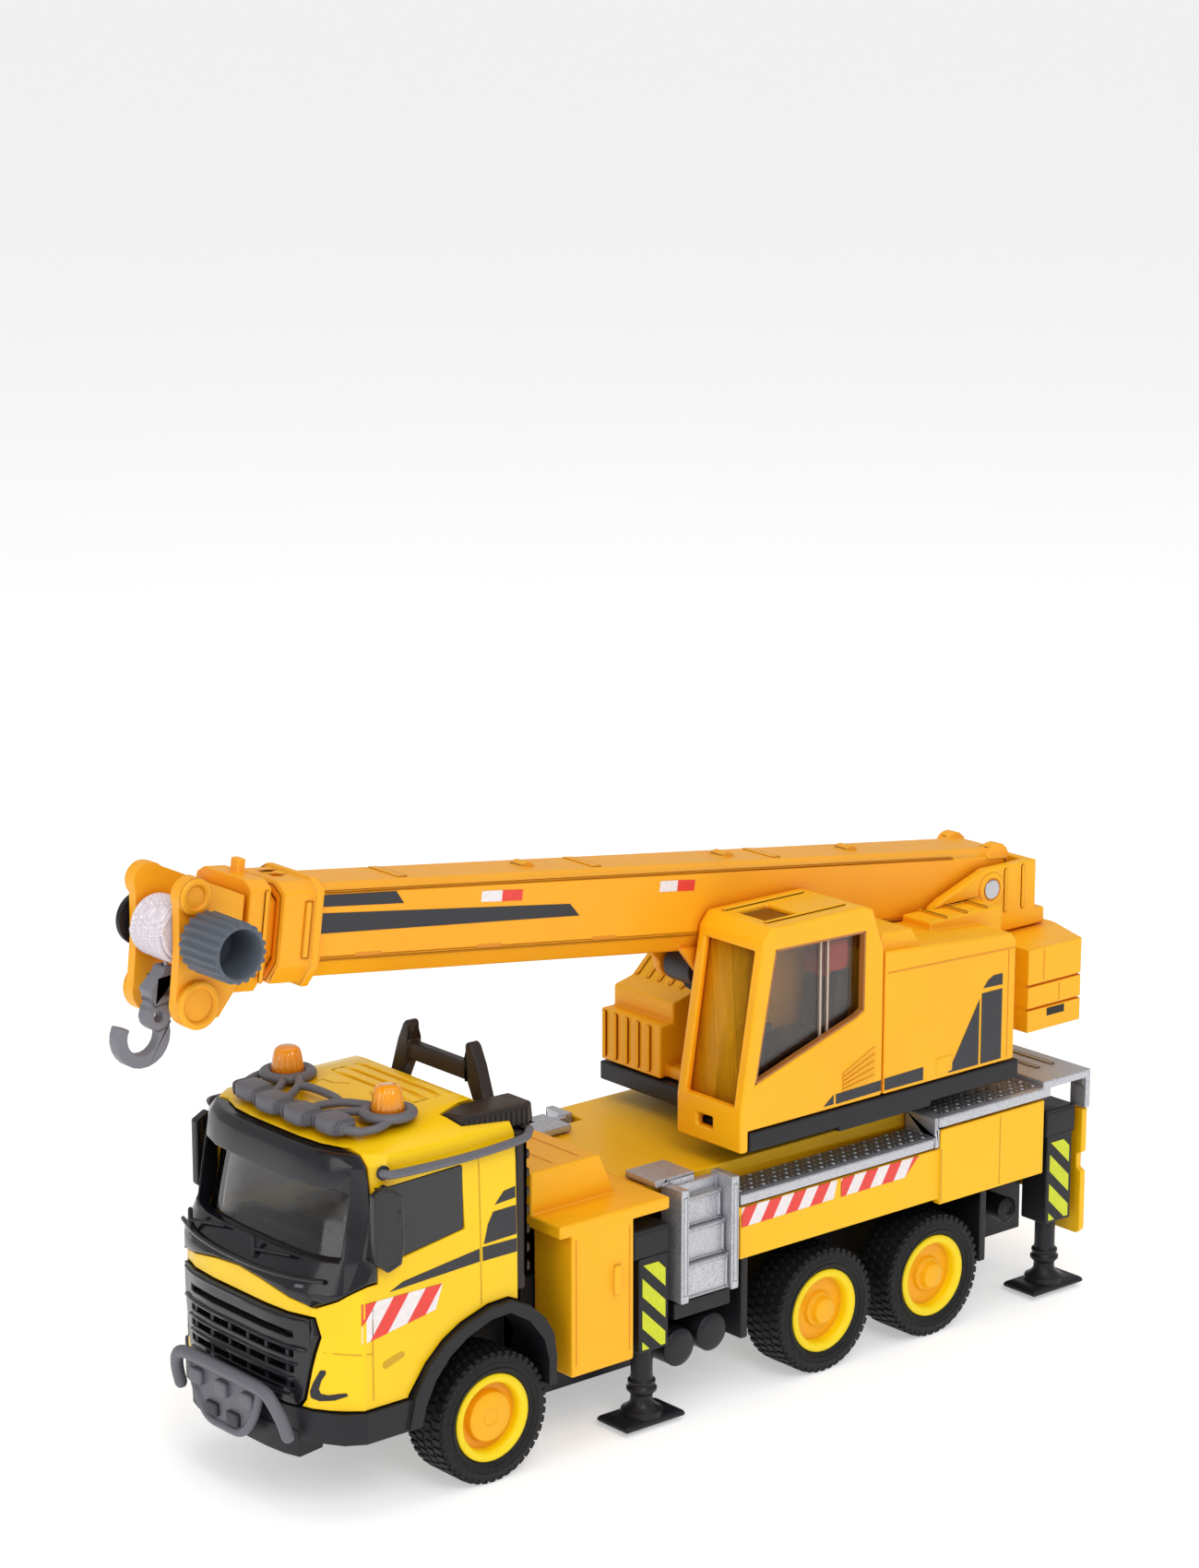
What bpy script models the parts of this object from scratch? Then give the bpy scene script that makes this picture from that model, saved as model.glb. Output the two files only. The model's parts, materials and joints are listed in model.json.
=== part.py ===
"""Toy crane truck, about 1:50: three-axle truck, slewing upper works and a telescoping boom.

Lengths below are millimetres. X points forward, Y to the truck's left, Z up, and the
origin is on the ground under the middle of the overall length.
"""

import math

import bmesh
import bpy
from mathutils import Matrix, Vector

MM = 0.001
GAP = 0.3  # running gap between neighbouring pieces

# Overall
REAR_END = -106.3
HALF_WIDTH = 25.5
DECK_TOP = 43.3
STEP_X = -60.3  # where the skirt and the walkway step up
SPINE_HALF = 10.0
CHASSIS_TOP = 31.0

# Running gear
AXLE_X = (47.1, -31.85, -60.2)
WHEEL_RADIUS = 12.0
RIM_RADIUS = 7.9
TYRE_OUTER_Y = 25.7
TYRE_WIDTH = 9.8
AXLE_RADIUS = 1.2

# Truck cab
CAB_REAR = 41.2
CAB_FLOOR = 20.5
CAB_WALL = 1.6
REST_TOP = 70.6  # the rest's crossbar, just under the lowered boom
CAB_BOW = 8.0  # how far the front corners lie behind the middle
BEACON_X, BEACON_Y = 60.9, 14.5

# Outriggers
COLUMN_FRONT_X, COLUMN_REAR_X = 10.2, -94.55
COLUMN_WIDTH = 7.0
COLUMN_LOW, COLUMN_TOP = 15.0, 38.4
BEAM_LOW = 33.0
JACK_Y = 21.9
HOUSING_X = (11.0, -94.5)  # the cross tunnels the beams slide in

# Upper works
SLEW_X = -46.0
BASE_LOW, BASE_TOP = 47.2, 50.9
BODY_LOW = BASE_TOP + GAP
FLOOR_TOP = 53.6
OPERATOR_Y = (7.9, HALF_WIDTH)
TOWER_Y = (8.3, 10.8)

# Boom, measured from its pivot: s along the boom, h at right angles to it
PIVOT_X, PIVOT_Z = -88.6, 80.3
PIVOT_PIN_RADIUS = 2.0
BOOM_TILT = math.radians(7.35)
BOOM_HALF = 7.5
BOOM_TOP, BOOM_BOTTOM = 7.0, -9.27
BASE_END = 168.0
MID_END = 174.5
HEAD_END = 189.0
HEEL_RADIUS = 9.3  # the boom's lower rear corner, rounded about its pivot
DRUM_S, DRUM_H, DRUM_RADIUS = 184.4, -0.7, 5.2
SHAFT_RADIUS = 1.6
UPPER_BOSS, UPPER_BOSS_RADIUS = (185.5, 6.3), 3.2
LOWER_BOSS, LOWER_BOSS_RADIUS = (183.1, -12.0), 4.1
LUG_S, LUG_H = 67.4, -13.6  # cylinder eye under the boom

# Luffing cylinder
FOOT_X, FOOT_Z = -64.5, 56.6
BARREL_LENGTH, ROD_LENGTH = 38.5, 40.0
BARREL_RADIUS, BARREL_BORE, ROD_RADIUS = 4.3, 3.6, 1.4
EYE_PIN_RADIUS = 1.2

# Hook
LINE_X, LINE_TOP, LINE_END, LINE_RADIUS = 95.4, 97.7, 92.9, 0.45
HOOK_X, HOOK_Z = 100.913, 86.0

SEGMENTS = 24
SIDES = (("left", 1), ("right", -1))

for leftover in list(bpy.data.objects):
    bpy.data.objects.remove(leftover)


def collection(name):
    made = bpy.data.collections.new(name)
    bpy.context.scene.collection.children.link(made)
    return made


PIECES = collection("pieces")
TOOLS = collection("tools")


def material(name, color, roughness, metallic=0.0, alpha=1.0):
    made = bpy.data.materials.new(name)
    made.use_nodes = True
    shader = made.node_tree.nodes["Principled BSDF"]
    shader.inputs["Base Color"].default_value = (*color, 1.0)
    shader.inputs["Roughness"].default_value = roughness
    shader.inputs["Metallic"].default_value = metallic
    shader.inputs["Alpha"].default_value = alpha
    made.diffuse_color = (*color, alpha)
    return made


LEMON = material("lemon_paint", (0.94, 0.62, 0.01), 0.3)
AMBER_YELLOW = material("orange_yellow_plastic", (0.95, 0.48, 0.03), 0.42)
BOOM_ORANGE = material("boom_plastic", (0.95, 0.42, 0.04), 0.42)
BLACK = material("black_plastic", (0.02, 0.02, 0.022), 0.4)
GREY = material("grey_plastic", (0.16, 0.16, 0.18), 0.45)
SILVER = material("silver_plastic", (0.5, 0.5, 0.54), 0.35, 0.4)
STEEL = material("steel", (0.6, 0.6, 0.62), 0.25, 1.0)
RUBBER = material("tyre_rubber", (0.018, 0.018, 0.018), 0.7)
CLEAR = material("clear_plastic", (0.75, 0.75, 0.75), 0.08, 0.0, 0.35)
AMBER = material("amber_plastic", (0.8, 0.25, 0.01), 0.15, 0.0, 0.6)
THREAD = material("thread", (0.75, 0.68, 0.7), 0.85)


# Shapes. Each returns a bmesh that is closed and faces outwards.


def finished(shape):
    bmesh.ops.recalc_face_normals(shape, faces=shape.faces)
    if shape.calc_volume(signed=True) < 0:
        bmesh.ops.reverse_faces(shape, faces=shape.faces)
    return shape


def at_axis(axis, along, first, second):
    """A point from its place along an axis and along the two others, taken in X, Y, Z order."""
    point = [first, second]
    point.insert("xyz".index(axis), along)
    return point


def prism(outline, low, high, axis="y"):
    """A flat outline, in the two other axes, drawn out from low to high along axis."""
    shape = bmesh.new()
    rings = [[shape.verts.new(at_axis(axis, t, *p)) for p in outline] for t in (low, high)]
    shape.faces.new(rings[0])
    shape.faces.new(rings[1][::-1])
    for i in range(len(outline)):
        j = (i + 1) % len(outline)
        shape.faces.new((rings[0][i], rings[1][i], rings[1][j], rings[0][j]))
    return finished(shape)


def block(x, y, z):
    x, y, z = sorted(x), sorted(y), sorted(z)
    return prism([(x[0], z[0]), (x[1], z[0]), (x[1], z[1]), (x[0], z[1])], *y)


def loft(sections):
    """Joins outlines with the same number of points, from the lowest to the highest."""
    shape = bmesh.new()
    rings = [[shape.verts.new(p) for p in section] for section in sections]
    for low, high in zip(rings, rings[1:]):
        for i in range(len(low)):
            j = (i + 1) % len(low)
            shape.faces.new((low[i], low[j], high[j], high[i]))
    shape.faces.new(rings[0][::-1])
    shape.faces.new(rings[-1])
    return finished(shape)


def turned(profile, centre, axis="y", segments=SEGMENTS, ring=False):
    """A profile of (radius, place along the axis) turned about the axis.

    A ring's profile closes on itself.
    """
    shape = bmesh.new()
    columns = []
    for radius, along in profile:
        if radius == 0:
            columns.append([shape.verts.new(at_axis(axis, along, *centre))] * segments)
            continue
        turn = [2 * math.pi * i / segments for i in range(segments)]
        points = [(centre[0] + radius * math.cos(a), centre[1] + radius * math.sin(a)) for a in turn]
        columns.append([shape.verts.new(at_axis(axis, along, *p)) for p in points])
    pairs = list(zip(columns, columns[1:] + columns[:1])) if ring else list(zip(columns, columns[1:]))
    for one, other in pairs:
        for i in range(segments):
            j = (i + 1) % segments
            corners = []
            for corner in (one[i], one[j], other[j], other[i]):
                if corner not in corners:
                    corners.append(corner)
            if len(corners) > 2:
                shape.faces.new(corners)
    return finished(shape)


def disc(centre, radius, low, high, axis="y", segments=SEGMENTS):
    return turned([(0, low), (radius, low), (radius, high), (0, high)], centre, axis, segments)


def tube(path, radius, sides=8):
    """A round bar that follows a path of points."""
    path = [Vector(p) for p in path]
    rings = []
    side = None
    for i, point in enumerate(path):
        ahead = path[min(i + 1, len(path) - 1)] - path[max(i - 1, 0)]
        ahead.normalize()
        if side is None:
            side = ahead.orthogonal().normalized()
        side = (side - ahead * side.dot(ahead)).normalized()
        up = ahead.cross(side)
        turn = [2 * math.pi * k / sides for k in range(sides)]
        rings.append([point + radius * (math.cos(a) * side + math.sin(a) * up) for a in turn])
    return loft(rings)


def arc(centre, radius, start, end, steps):
    """Points on an arc, in degrees."""
    turn = [math.radians(start + (end - start) * i / steps) for i in range(steps + 1)]
    return [(centre[0] + radius * math.cos(a), centre[1] + radius * math.sin(a)) for a in turn]


def mirrored(shape):
    """The same shape on the other side of the truck's middle plane."""
    twin = shape.copy()
    bmesh.ops.scale(twin, vec=(1, -1, 1), verts=twin.verts)
    return finished(twin)


def both(shape):
    return [shape, mirrored(shape)]


def sided(shape, sign):
    return shape if sign > 0 else mirrored(shape)


# Placing. A body is an empty on its joint's axis, and the pieces that move with it are its children.

BODIES = {}


def body(name, place=(0, 0, 0), parent=None, tilt=0.0):
    empty = bpy.data.objects.new("body_" + name, None)
    empty.empty_display_size = 5 * MM
    PIECES.objects.link(empty)
    matrix = Matrix.Translation(Vector(place) * MM) @ Matrix.Rotation(-tilt, 4, "Y")
    if parent:
        empty.parent = BODIES[parent]["empty"]
        empty.matrix_local = BODIES[parent]["matrix"].inverted() @ matrix
    else:
        empty.matrix_local = matrix
    BODIES[name] = {"empty": empty, "matrix": matrix}


def mesh_object(name, shape, frame, group):
    mesh = bpy.data.meshes.new(name)
    bmesh.ops.scale(shape, vec=(MM, MM, MM), verts=shape.verts)
    shape.to_mesh(mesh)
    shape.free()
    mesh.transform(frame["matrix"].inverted() @ frame["drawn"])
    made = bpy.data.objects.new(name, mesh)
    made.parent = frame["empty"]
    group.objects.link(made)
    return made


def piece(name, look, owner, add, cut=(), keep=(), last=(), drawn="world", round_edges=False):
    """One sub-part: its shapes joined, kept only inside the keep shapes, cut, and the last shapes joined on.

    drawn says whether the shapes' numbers are the truck's or the tilted boom's.
    """
    frame = dict(BODIES[owner])
    frame["drawn"] = Matrix.Identity(4) if drawn == "world" else BODIES["boom"]["matrix"]
    made = mesh_object(name, add[0], frame, PIECES)
    made.data.materials.append(look)
    steps = [("UNION", add[1:]), ("INTERSECT", keep), ("DIFFERENCE", cut), ("UNION", last)]
    for step, (operation, shapes) in enumerate(steps):
        for count, shape in enumerate(shapes):
            tool = mesh_object(f"{name}_tool_{step}_{count}", shape, frame, TOOLS)
            tool.hide_render = True
            tool.display_type = "WIRE"
            modifier = made.modifiers.new(f"{operation.title()} {count}", "BOOLEAN")
            modifier.operation = operation
            modifier.object = tool
    if round_edges:
        made.data.shade_smooth()
        made.data.set_sharp_from_angle(angle=math.radians(35))
    return made


# Truck cab


def front_curve(middle, half, bow=CAB_BOW, steps=(1, 0.93, 0.85, 0.74, 0.55, 0.3, 0)):
    """The bowed front in plan, from the left corner to the right one."""
    left = [(middle - bow * t**4.5, half * t) for t in steps]
    return left + [(x, -y) for x, y in left[-2::-1]]


def level_at(levels, z):
    """A row of numbers for height z, between the two rows around it."""
    above = next(i for i, level in enumerate(levels) if level[0] >= z)
    if above == 0:
        return (z, *levels[0][1:])
    low, high = levels[above - 1], levels[above]
    share = (z - low[0]) / (high[0] - low[0])
    return tuple(a + (b - a) * share for a, b in zip(low, high))


def cab_solid(offset, low=CAB_FLOOR, high=None, rear=None):
    """The cab's outer form, moved out by offset. The roof falls away to the front and the sides."""
    levels = [
        (15.0, 25.0, 82.6, CAB_REAR),
        (34.0, 25.0, 82.4, CAB_REAR),
        (41.5, 25.0, 82.2, CAB_REAR),
        (47.0, 24.9, 79.2, CAB_REAR),
        (58.0, 24.6, 77.4, CAB_REAR),
        (62.5, 24.3, 76.8, CAB_REAR),
        (64.2, 23.4, 75.8, CAB_REAR + 0.2),
        (65.2, 21.6, 71.8, CAB_REAR + 0.6),
        (66.2, 19.0, 66.4, CAB_REAR + 1.4),
        (67.1, 15.0, 60.5, CAB_REAR + 2.8),
        (67.8, 9.5, 55.0, CAB_REAR + 5.0),
    ]
    levels = [level_at(levels, low)] + [level for level in levels if level[0] > low + 0.1]
    if high is not None:
        levels = [level for level in levels if level[0] < high - 0.1] + [level_at(levels, high)]
    sections = []
    for z, half, middle, back in levels:
        half, middle = half + offset, middle + offset
        back = rear if rear is not None else back - offset
        curve = front_curve(middle, half)
        if z > 62.6 and high is None:
            z = z + offset
        outline = [(back, -half)] + [(back, half)] + curve
        sections.append([(x, y, z) for x, y in outline])
    return loft(sections)


MASK_EDGE = [(25.4, 43.2), (22, 40.3), (19, 38.8), (7, 41.0)]
ARCH_OUTER = [
    (65.9, 15.0), (64.6, 20.5), (61.5, 25.5), (57.8, 28.8), (54.0, 30.9), (48.0, 32.8),
    (43.4, 33.0), (39.5, 31.2), (36.0, 28.0), (34.0, 24.6), (33.4, 20.0), (33.6, 15.2),
]
ARCH_INNER = [
    (35.2, 15.2), (35.2, 20.0), (36.3, 24.0), (39.5, 28.2), (43.8, 30.8), (48.0, 30.6),
    (53.2, 28.7), (57.0, 26.2), (60.2, 22.6), (62.3, 18.5), (63.2, 15.0),
]


def arch_clearance():
    """What the wheel arch takes from the cab, down to the ground."""
    upper = [(x, z + 0.35) for x, z in ARCH_OUTER[1:-1]]
    return prism([(66.6, 0), (66.4, 16.0), (65.1, 21.0)] + upper[1:] + [(30.0, 20.0), (30.0, 0)], -30, 30)


def mask_region(grow):
    """The front of the cab that the black mask covers, in front view, drawn out forwards."""
    edge = [(y, z - grow) for y, z in MASK_EDGE]
    top = 64.3 + grow
    outline = [(26.5, top), (26.5, edge[0][1])] + edge + [(0, 41.6 - grow)]
    outline += [(-y, z) for y, z in edge[::-1]] + [(-26.5, edge[0][1]), (-26.5, top)]
    return prism(outline, 71.6 - grow, 95, "x")


SIDE_WINDOW = [(70.6, 58.9), (53.0, 59.4), (52.6, 47.9), (65.4, 46.0), (70.6, 45.6)]
GRILLE_EDGE = [(18.6, 36.6), (19.4, 33.5), (18.6, 30.5), (16.8, 22.0), (15.6, 20.6)]
GRILLE_HOLE = [(18.9, 36.9), (19.8, 33.5), (19.0, 30.5), (17.2, 22.0), (15.9, 20.0)]
WINDSCREEN = [(21.7, 47.0), (20.9, 46.4), (20.9, 58.3), (21.7, 57.6)]


def front_outline(edge):
    """A closed outline in front view from its left half."""
    return edge + [(-y, z) for y, z in edge[::-1]]


def air_intake(grow=0.0):
    """The ribbed housing on the roof's left rear corner."""
    outline = [(52.2, 17.6), (50.6, 21.8), (38.0, 23.4), (35.6, 22.6), (35.6, 15.6), (46.0, 15.2)]
    centre = Vector((44, 19.5))
    spread = [centre + (Vector(p) - centre) * (1 + grow / 5) for p in outline]
    low = [(x, y, 62.9 - grow) for x, y in spread]
    high = [(x * 0.97 + 1.2, y * 0.9 + 1.9, 66.6 + grow) for x, y in spread]
    return loft([low, high])


def cab_shell():
    window = prism(SIDE_WINDOW, 20, 30)
    grille = prism(front_outline(GRILLE_HOLE), 76, 95, "x")
    roof_ribs = [block((44.6 + 2.9 * i, 45.6 + 2.9 * i), (-12, 12), (67.3, 70)) for i in range(4)]
    hollow = cab_solid(-CAB_WALL, low=CAB_FLOOR - 5, high=63.4)
    cuts = [hollow, mask_region(GAP), arch_clearance(), grille, air_intake(GAP), *both(window), *roof_ribs]
    piece("cab_shell", LEMON, "truck", [cab_solid(0)], cuts)


def front_mask():
    mirror = [(73.2, 58.8), (70.5, 60.2), (67.3, 57.6), (66.8, 50.0), (67.6, 45.6), (70.5, 44.7),
              (73.2, 47.0)]
    solid = cab_solid(0.4, low=30, high=64.6)
    cavity = cab_solid(-CAB_WALL, low=25, high=63.0)
    opening = prism(front_outline(WINDSCREEN[1:3]), 60, 95, "x")
    piece("front_mask", BLACK, "truck", [solid], [cavity, opening], [mask_region(0)],
          both(prism(mirror, 25.25, 27.0)))


def cab_glazing():
    solid = cab_solid(-CAB_WALL - GAP, low=44.4, high=61.6, rear=50.0)
    cavity = cab_solid(-CAB_WALL - GAP - 0.9, low=43, high=62.4, rear=40.0)
    piece("cab_glazing", CLEAR, "truck", [solid], [cavity])


def grille():
    solid = prism(front_curve(82.9, 25.0) + front_curve(79.9, 24.0)[::-1], 20.5, 36.6, "z")
    slats = [block((80.8, 90), (-15.0, 15.0), (z, z + 1.1)) for z in (23.5, 26.3, 29.1, 32.6)]
    piece("grille", BLACK, "truck", [solid], slats, [prism(front_outline(GRILLE_EDGE), 70, 95, "x")])


def bumper():
    """The black lower front with both wheel arches, one moulding."""
    arch = prism(ARCH_OUTER + ARCH_INNER, 17.2, 26.3)
    outer = [(64.4, 25.6), (74.5, 25.6), (77.8, 23.6), (80.8, 19), (82.6, 12), (83.4, 0)]
    inner = [(64.4, 22.4), (73.5, 22.4), (75.6, 20.8), (78.0, 17), (79.6, 11), (80.4, 0)]
    left = outer + inner[::-1]
    half = prism(left, 14.6, 20.2, "z")
    skid = prism(front_curve(83.2, 16, 1.6, (1, 0.8, 0.5, 0)) + [(76, -15), (76, 15)], 11.2, 16, "z")
    bridge = block((78.2, 81.2), (-4, 4), (14.6, 20.2))
    piece("bumper", BLACK, "truck", [half, mirrored(half), bridge, skid, *both(arch)])


def bull_bar():
    left = [(84.2, 16.0, 16.0), (85.2, 15.4, 18.6), (86.0, 13.4, 22.0), (86.0, 11.6, 23.0), (86.0, 0, 23.3)]
    path = left + [(x, -y, z) for x, y, z in left[-2::-1]]
    plate = [(12.4, 22.8), (9.4, 15.6), (3.8, 12.2), (-3.8, 12.2), (-9.4, 15.6), (-12.4, 22.8)]
    gaps = [prism([(y - 1.7, 14.6), (y + 1.7, 14.6), (y + 1.7, 17), (y - 1.7, 17)], 80, 90,
                  "x") for y in (-3.2, 3.2)]
    gaps.append(prism([(-9.6, 19.4), (9.6, 19.4), (10.4, 21.3), (-10.4, 21.3)], 80, 90, "x"))
    piece("bull_bar", GREY, "truck", [prism(plate, 85.0, 86.6, "x"), tube(path, 1.1)], gaps)


def light_bar():
    pods = [block((69.2, 73.4), (y - 3.3, y + 3.3), (66.0, 68.4)) for y in (-11.7, -4.1, 4.1, 11.7)]
    rail = block((70.2, 72.4), (-13, 13), (66.2, 67.6))
    low, high = 67.4, 68.9
    rings = [turned([(3.4, low), (4.9, low), (4.9, high), (3.4, high)], (BEACON_X, y), "z", ring=True)
             for y in (-BEACON_Y, BEACON_Y)]
    arms = both(tube([(70.5, 12.5, 67.2), (67.5, 14.2, 67.6), (65.0, 14.5, 68.2)], 0.8))
    arms += both(tube([(70.5, 3.5, 67.2), (66.0, 6.0, 68.0), (62.0, 10.4, 68.4)], 0.8))
    bar = tube([(62.5, -11, 68.5), (61.5, 0, 69.0), (62.5, 11, 68.5)], 0.7)
    piece("light_bar", GREY, "truck", [rail, *pods, *rings, *arms, bar])


def beacon(side, sign):
    profile = [(0, 67.4), (3.0, 67.4), (3.0, 69.2), (2.7, 71.8), (2.1, 72.6), (0, 72.8)]
    piece(f"beacon_{side}", AMBER, "truck", [turned(profile, (BEACON_X, sign * BEACON_Y), "z")],
          round_edges=True)


def roof_rail(side, sign):
    path = [(69.4, 25.6, 61.6), (67.4, 26.3, 61.5), (52.0, 26.4, 61.4), (40.6, 26.3, 61.8),
            (38.6, 25.7, 62.4)]
    piece(f"roof_rail_{side}", GREY, "truck", [sided(tube(path, 0.8), sign)], round_edges=True)


def back_panel():
    """Black panel behind the cab, with the boom rest above it and the air intake at its side."""
    panel = block((38.9, CAB_REAR - GAP), (-24.4, 24.4), (33.6, 62.4))
    post = [(15.0, 60.5), (11.8, 60.5), (8.4, 67.3), (7.9, 74.0), (8.7, 74.6), (9.7, 74.0), (11.4, 70.6)]
    posts = both(prism(post, 36.6, 39.2, "x"))
    bar = block((36.8, 39.0), (-9.0, 9.0), (67.3, REST_TOP))
    neck = block((36.2, 40.9), (15.8, 22.6), (61.5, 63.6))
    ribs = [block((37.6, 39.1), (22.0, 24.2), (36.5 + 3.4 * i, 38.4 + 3.4 * i)) for i in range(8)]
    piece("back_panel", BLACK, "truck", [panel, *posts, bar, neck, air_intake(), *ribs])


def cab_interior():
    floor = block((43.4, 73.5), (-21.0, 21.0), (33.9, 36.4))
    dash = prism([(64.5, 36), (72.2, 36), (71.2, 43.9), (69.0, 44.9), (64.5, 42)], -20.5, 20.5)
    seat = prism([(46.5, 36), (60, 36), (60, 42), (50.4, 43.0), (48.6, 57), (46, 57)], 4, 18)
    piece("cab_interior", GREY, "truck", [floor, dash, *both(seat)])


# Chassis and deck


def chassis():
    spine = block((-99.9, 68), (-SPINE_HALF, SPINE_HALF), (8.2, CHASSIS_TOP))
    middle = block((-8.6, 32.5), (-15, 15), (8, CHASSIS_TOP))
    guard = block((-13.4, -11.7), (-24.3, 24.3), (11.2, CHASSIS_TOP))
    rear_guard = block((-75.4, -73.7), (-24.3, 24.3), (11.2, CHASSIS_TOP))
    roof = block((-75.0, -12.0), (-24.2, 24.2), (29.0, CHASSIS_TOP))
    bracket = block((-9.0, 4.6), (13.0, 24.4), (18.9, 22.1))
    housings = [block((x - 5.2, x + 5.6), (-15, 15), (30.5, 40.4)) for x in HOUSING_X]
    tanks = [disc(centre, 3.5, 12, 24.0) for centre in ((3.2, 13.4), (-4.6, 14.4))]
    tail_tank = disc((-85.5, 18.0), 2.4, 8, 20.0)
    tunnels = [block((x - 4.4, x + 4.6), (-30, 30), (BEAM_LOW - GAP, COLUMN_TOP + GAP)) for x in HOUSING_X]
    bores = [disc((x, WHEEL_RADIUS), AXLE_RADIUS + GAP, -30, 30) for x in AXLE_X]
    sides = []
    for shape in (bracket, *tanks, tail_tank):
        sides += both(shape)
    piece("chassis", BLACK, "truck", [spine, middle, guard, rear_guard, roof, *housings, *sides],
          [*tunnels, *bores])


def deck():
    """Yellow deck with the skirts, a step lower along the left walkway."""
    low = DECK_TOP - 2.3
    front, back, step = 6.8, -99.0, STEP_X
    top = prism([(front, -25), (front, 17.9), (step, 17.9), (step, 16.6), (back, 16.6), (back, -25)], low,
                DECK_TOP, "z")
    wall = block((step - 0.2, -9.4), (16.4, 17.9), (36.4, DECK_TOP - 1))
    shelf = block((step - 0.2, -9.4), (16.4, 26.0), (35.8, 37.6))
    skirt = block((step - 0.2, -9.8), (24.5, 26.0), (27.5, 37.6))
    rear_skirt = block((-88.6, step), (24.6, 26.5), (26.5, 41.4))
    rear_shelf = block((-88.6, step), (15.0, 26.0), (39.9, 41.5))
    right_skirt = block((step, -9.8), (-26.0, -24.5), (27.5, low + 0.5))
    right_rear = block((-88.6, step + 0.2), (-26.5, -24.5), (26.5, low + 0.5))
    lip = block((-88.6, front - 2), (-26.0, -24.0), (low, DECK_TOP))
    post = disc((SLEW_X, 0), 2.6 + GAP, 30, 60, "z")
    well = block((-9.4, 8), (-30, -17.9), (30, 50))
    piece("deck", LEMON, "truck",
          [top, wall, shelf, skirt, rear_skirt, rear_shelf, lip, right_skirt, right_rear], [post, well])


def walkway():
    """Silver tread plates: low along the left side, higher behind, and across the tail."""
    step = STEP_X
    low = block((step + GAP, -9.5), (18.2, 26.4), (38.0, 40.0))
    riser = block((step + GAP, step + 1.5), (18.2, 26.6), (38.0, 44.0))
    high = block((-90.0, step + 1.0), (17.0, 26.8), (41.9, 44.0))
    plate = block((-101.2, -88.0), (-26.8, 26.8), (43.6, 45.3))
    lips = both(block((-101.2, -99.9), (22.5, 26.8), (37.4, 44.5)))
    edge = block((-101.2, -99.6), (-26, 26), (42.0, 44.5))
    inner = block((-70.0, -50.0), (16.0, 17.9 + GAP), (40.0, 43.3 + GAP))
    piece("walkway", SILVER, "truck", [low, riser, high, plate, edge, *lips], [inner])


def rear_panel():
    outline = [(25.8, 37.0), (25.8, 28), (24.6, 27.4), (24.6, 24.6), (25.8, 24), (25.8, 12), (24.8, 11),
               (19, 11), (17, 17)]
    plate = prism(front_outline(outline), -101.6, -100.2, "x")
    piece("rear_panel", LEMON, "truck", [plate])


def ladder(side, sign):
    rails = [block((x, x + 1.8), (20.6, 26.5), (22.5, 44.0)) for x in (-9.1, 2.9)]
    steps = [block((-8.4, 3.6), (20.6, y), (low, high))
             for y, low, high in ((25.4, 22.8, 29.3), (24.4, 29.0, 35.6), (23.4, 35.3, 41.0),
                                  (22.2, 40.8, 43.4))]
    ledge = block((-2.6, 6.6), (13.0, 21.4), (43.6, 45.0))
    link = block((-2.6, 3.6), (20.7, 21.6), (42.4, 44.6))
    piece(f"ladder_{side}", SILVER, "truck", [sided(s, sign) for s in (*rails, *steps, ledge, link)])


def toolbox():
    """Side boxes and the raised cover that joins them across the truck."""
    side_box = block((15.7, 29.8), (15.3, 26.0), (14.9, 43.5))
    cover = block((7.1, 32.5), (-26.0, 26.0), (41.2, 43.6))
    hump = prism([(13.0, 43.0), (16.6, 51.4), (32.5, 51.4), (32.5, 43.0)], -18.0, 18.0)
    handles = both(block((19.0, 20.4), (25.5, 26.4), (28.5, 33.6)))
    piece("toolbox", AMBER_YELLOW, "truck", [cover, hump, *both(side_box), *handles])


# Running gear


def wheelset(index, x):
    owner = f"axle_{index}"
    centre = (x, WHEEL_RADIUS)
    outer, inner = TYRE_OUTER_Y, TYRE_OUTER_Y - TYRE_WIDTH
    mid = (outer + inner) / 2
    bead, shoulder = RIM_RADIUS + 0.25, WHEEL_RADIUS - 0.9
    profile = [
        (bead, inner + 0.6), (bead + 1.2, inner), (shoulder - 0.6, inner + 0.1), (shoulder, inner + 0.5),
        (WHEEL_RADIUS, inner + 1.6), (WHEEL_RADIUS, outer - 1.6), (shoulder, outer - 0.5),
        (shoulder - 0.6, outer - 0.1), (bead + 1.2, outer), (bead, outer - 0.6),
    ]
    front = index == 1
    hub = 2.2 if front else 3.2
    hub_radius, hub_top = (4.4 if front else 2.9), outer - 2.6 + hub - 0.8
    rim = [
        (0, inner + 2.0), (RIM_RADIUS - 1.6, inner + 2.0), (RIM_RADIUS, inner + 1.0), (RIM_RADIUS, outer - 0.5),
        (RIM_RADIUS - 1.2, outer - 0.4), (RIM_RADIUS - 2.0, outer - 2.6), (hub_radius, outer - 2.6),
        (hub_radius - (0.2 if front else 0.3), hub_top), (0, hub_top),
    ]
    for side, sign in SIDES:
        hole = disc(centre, AXLE_RADIUS + GAP / 2, 0, mid + 1.4, segments=16)
        piece(f"tyre_{index}_{side}", RUBBER, owner,
              [sided(turned(profile, centre, ring=True), sign)], round_edges=True)
        piece(f"rim_{index}_{side}", LEMON, owner, [sided(turned(rim, centre), sign)],
              [sided(hole, sign)], round_edges=True)
    piece(f"axle_shaft_{index}", STEEL, owner, [disc(centre, AXLE_RADIUS, -mid - 1.1, mid + 1.1,
                                                     segments=16)],
          round_edges=True)


# Outriggers


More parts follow.
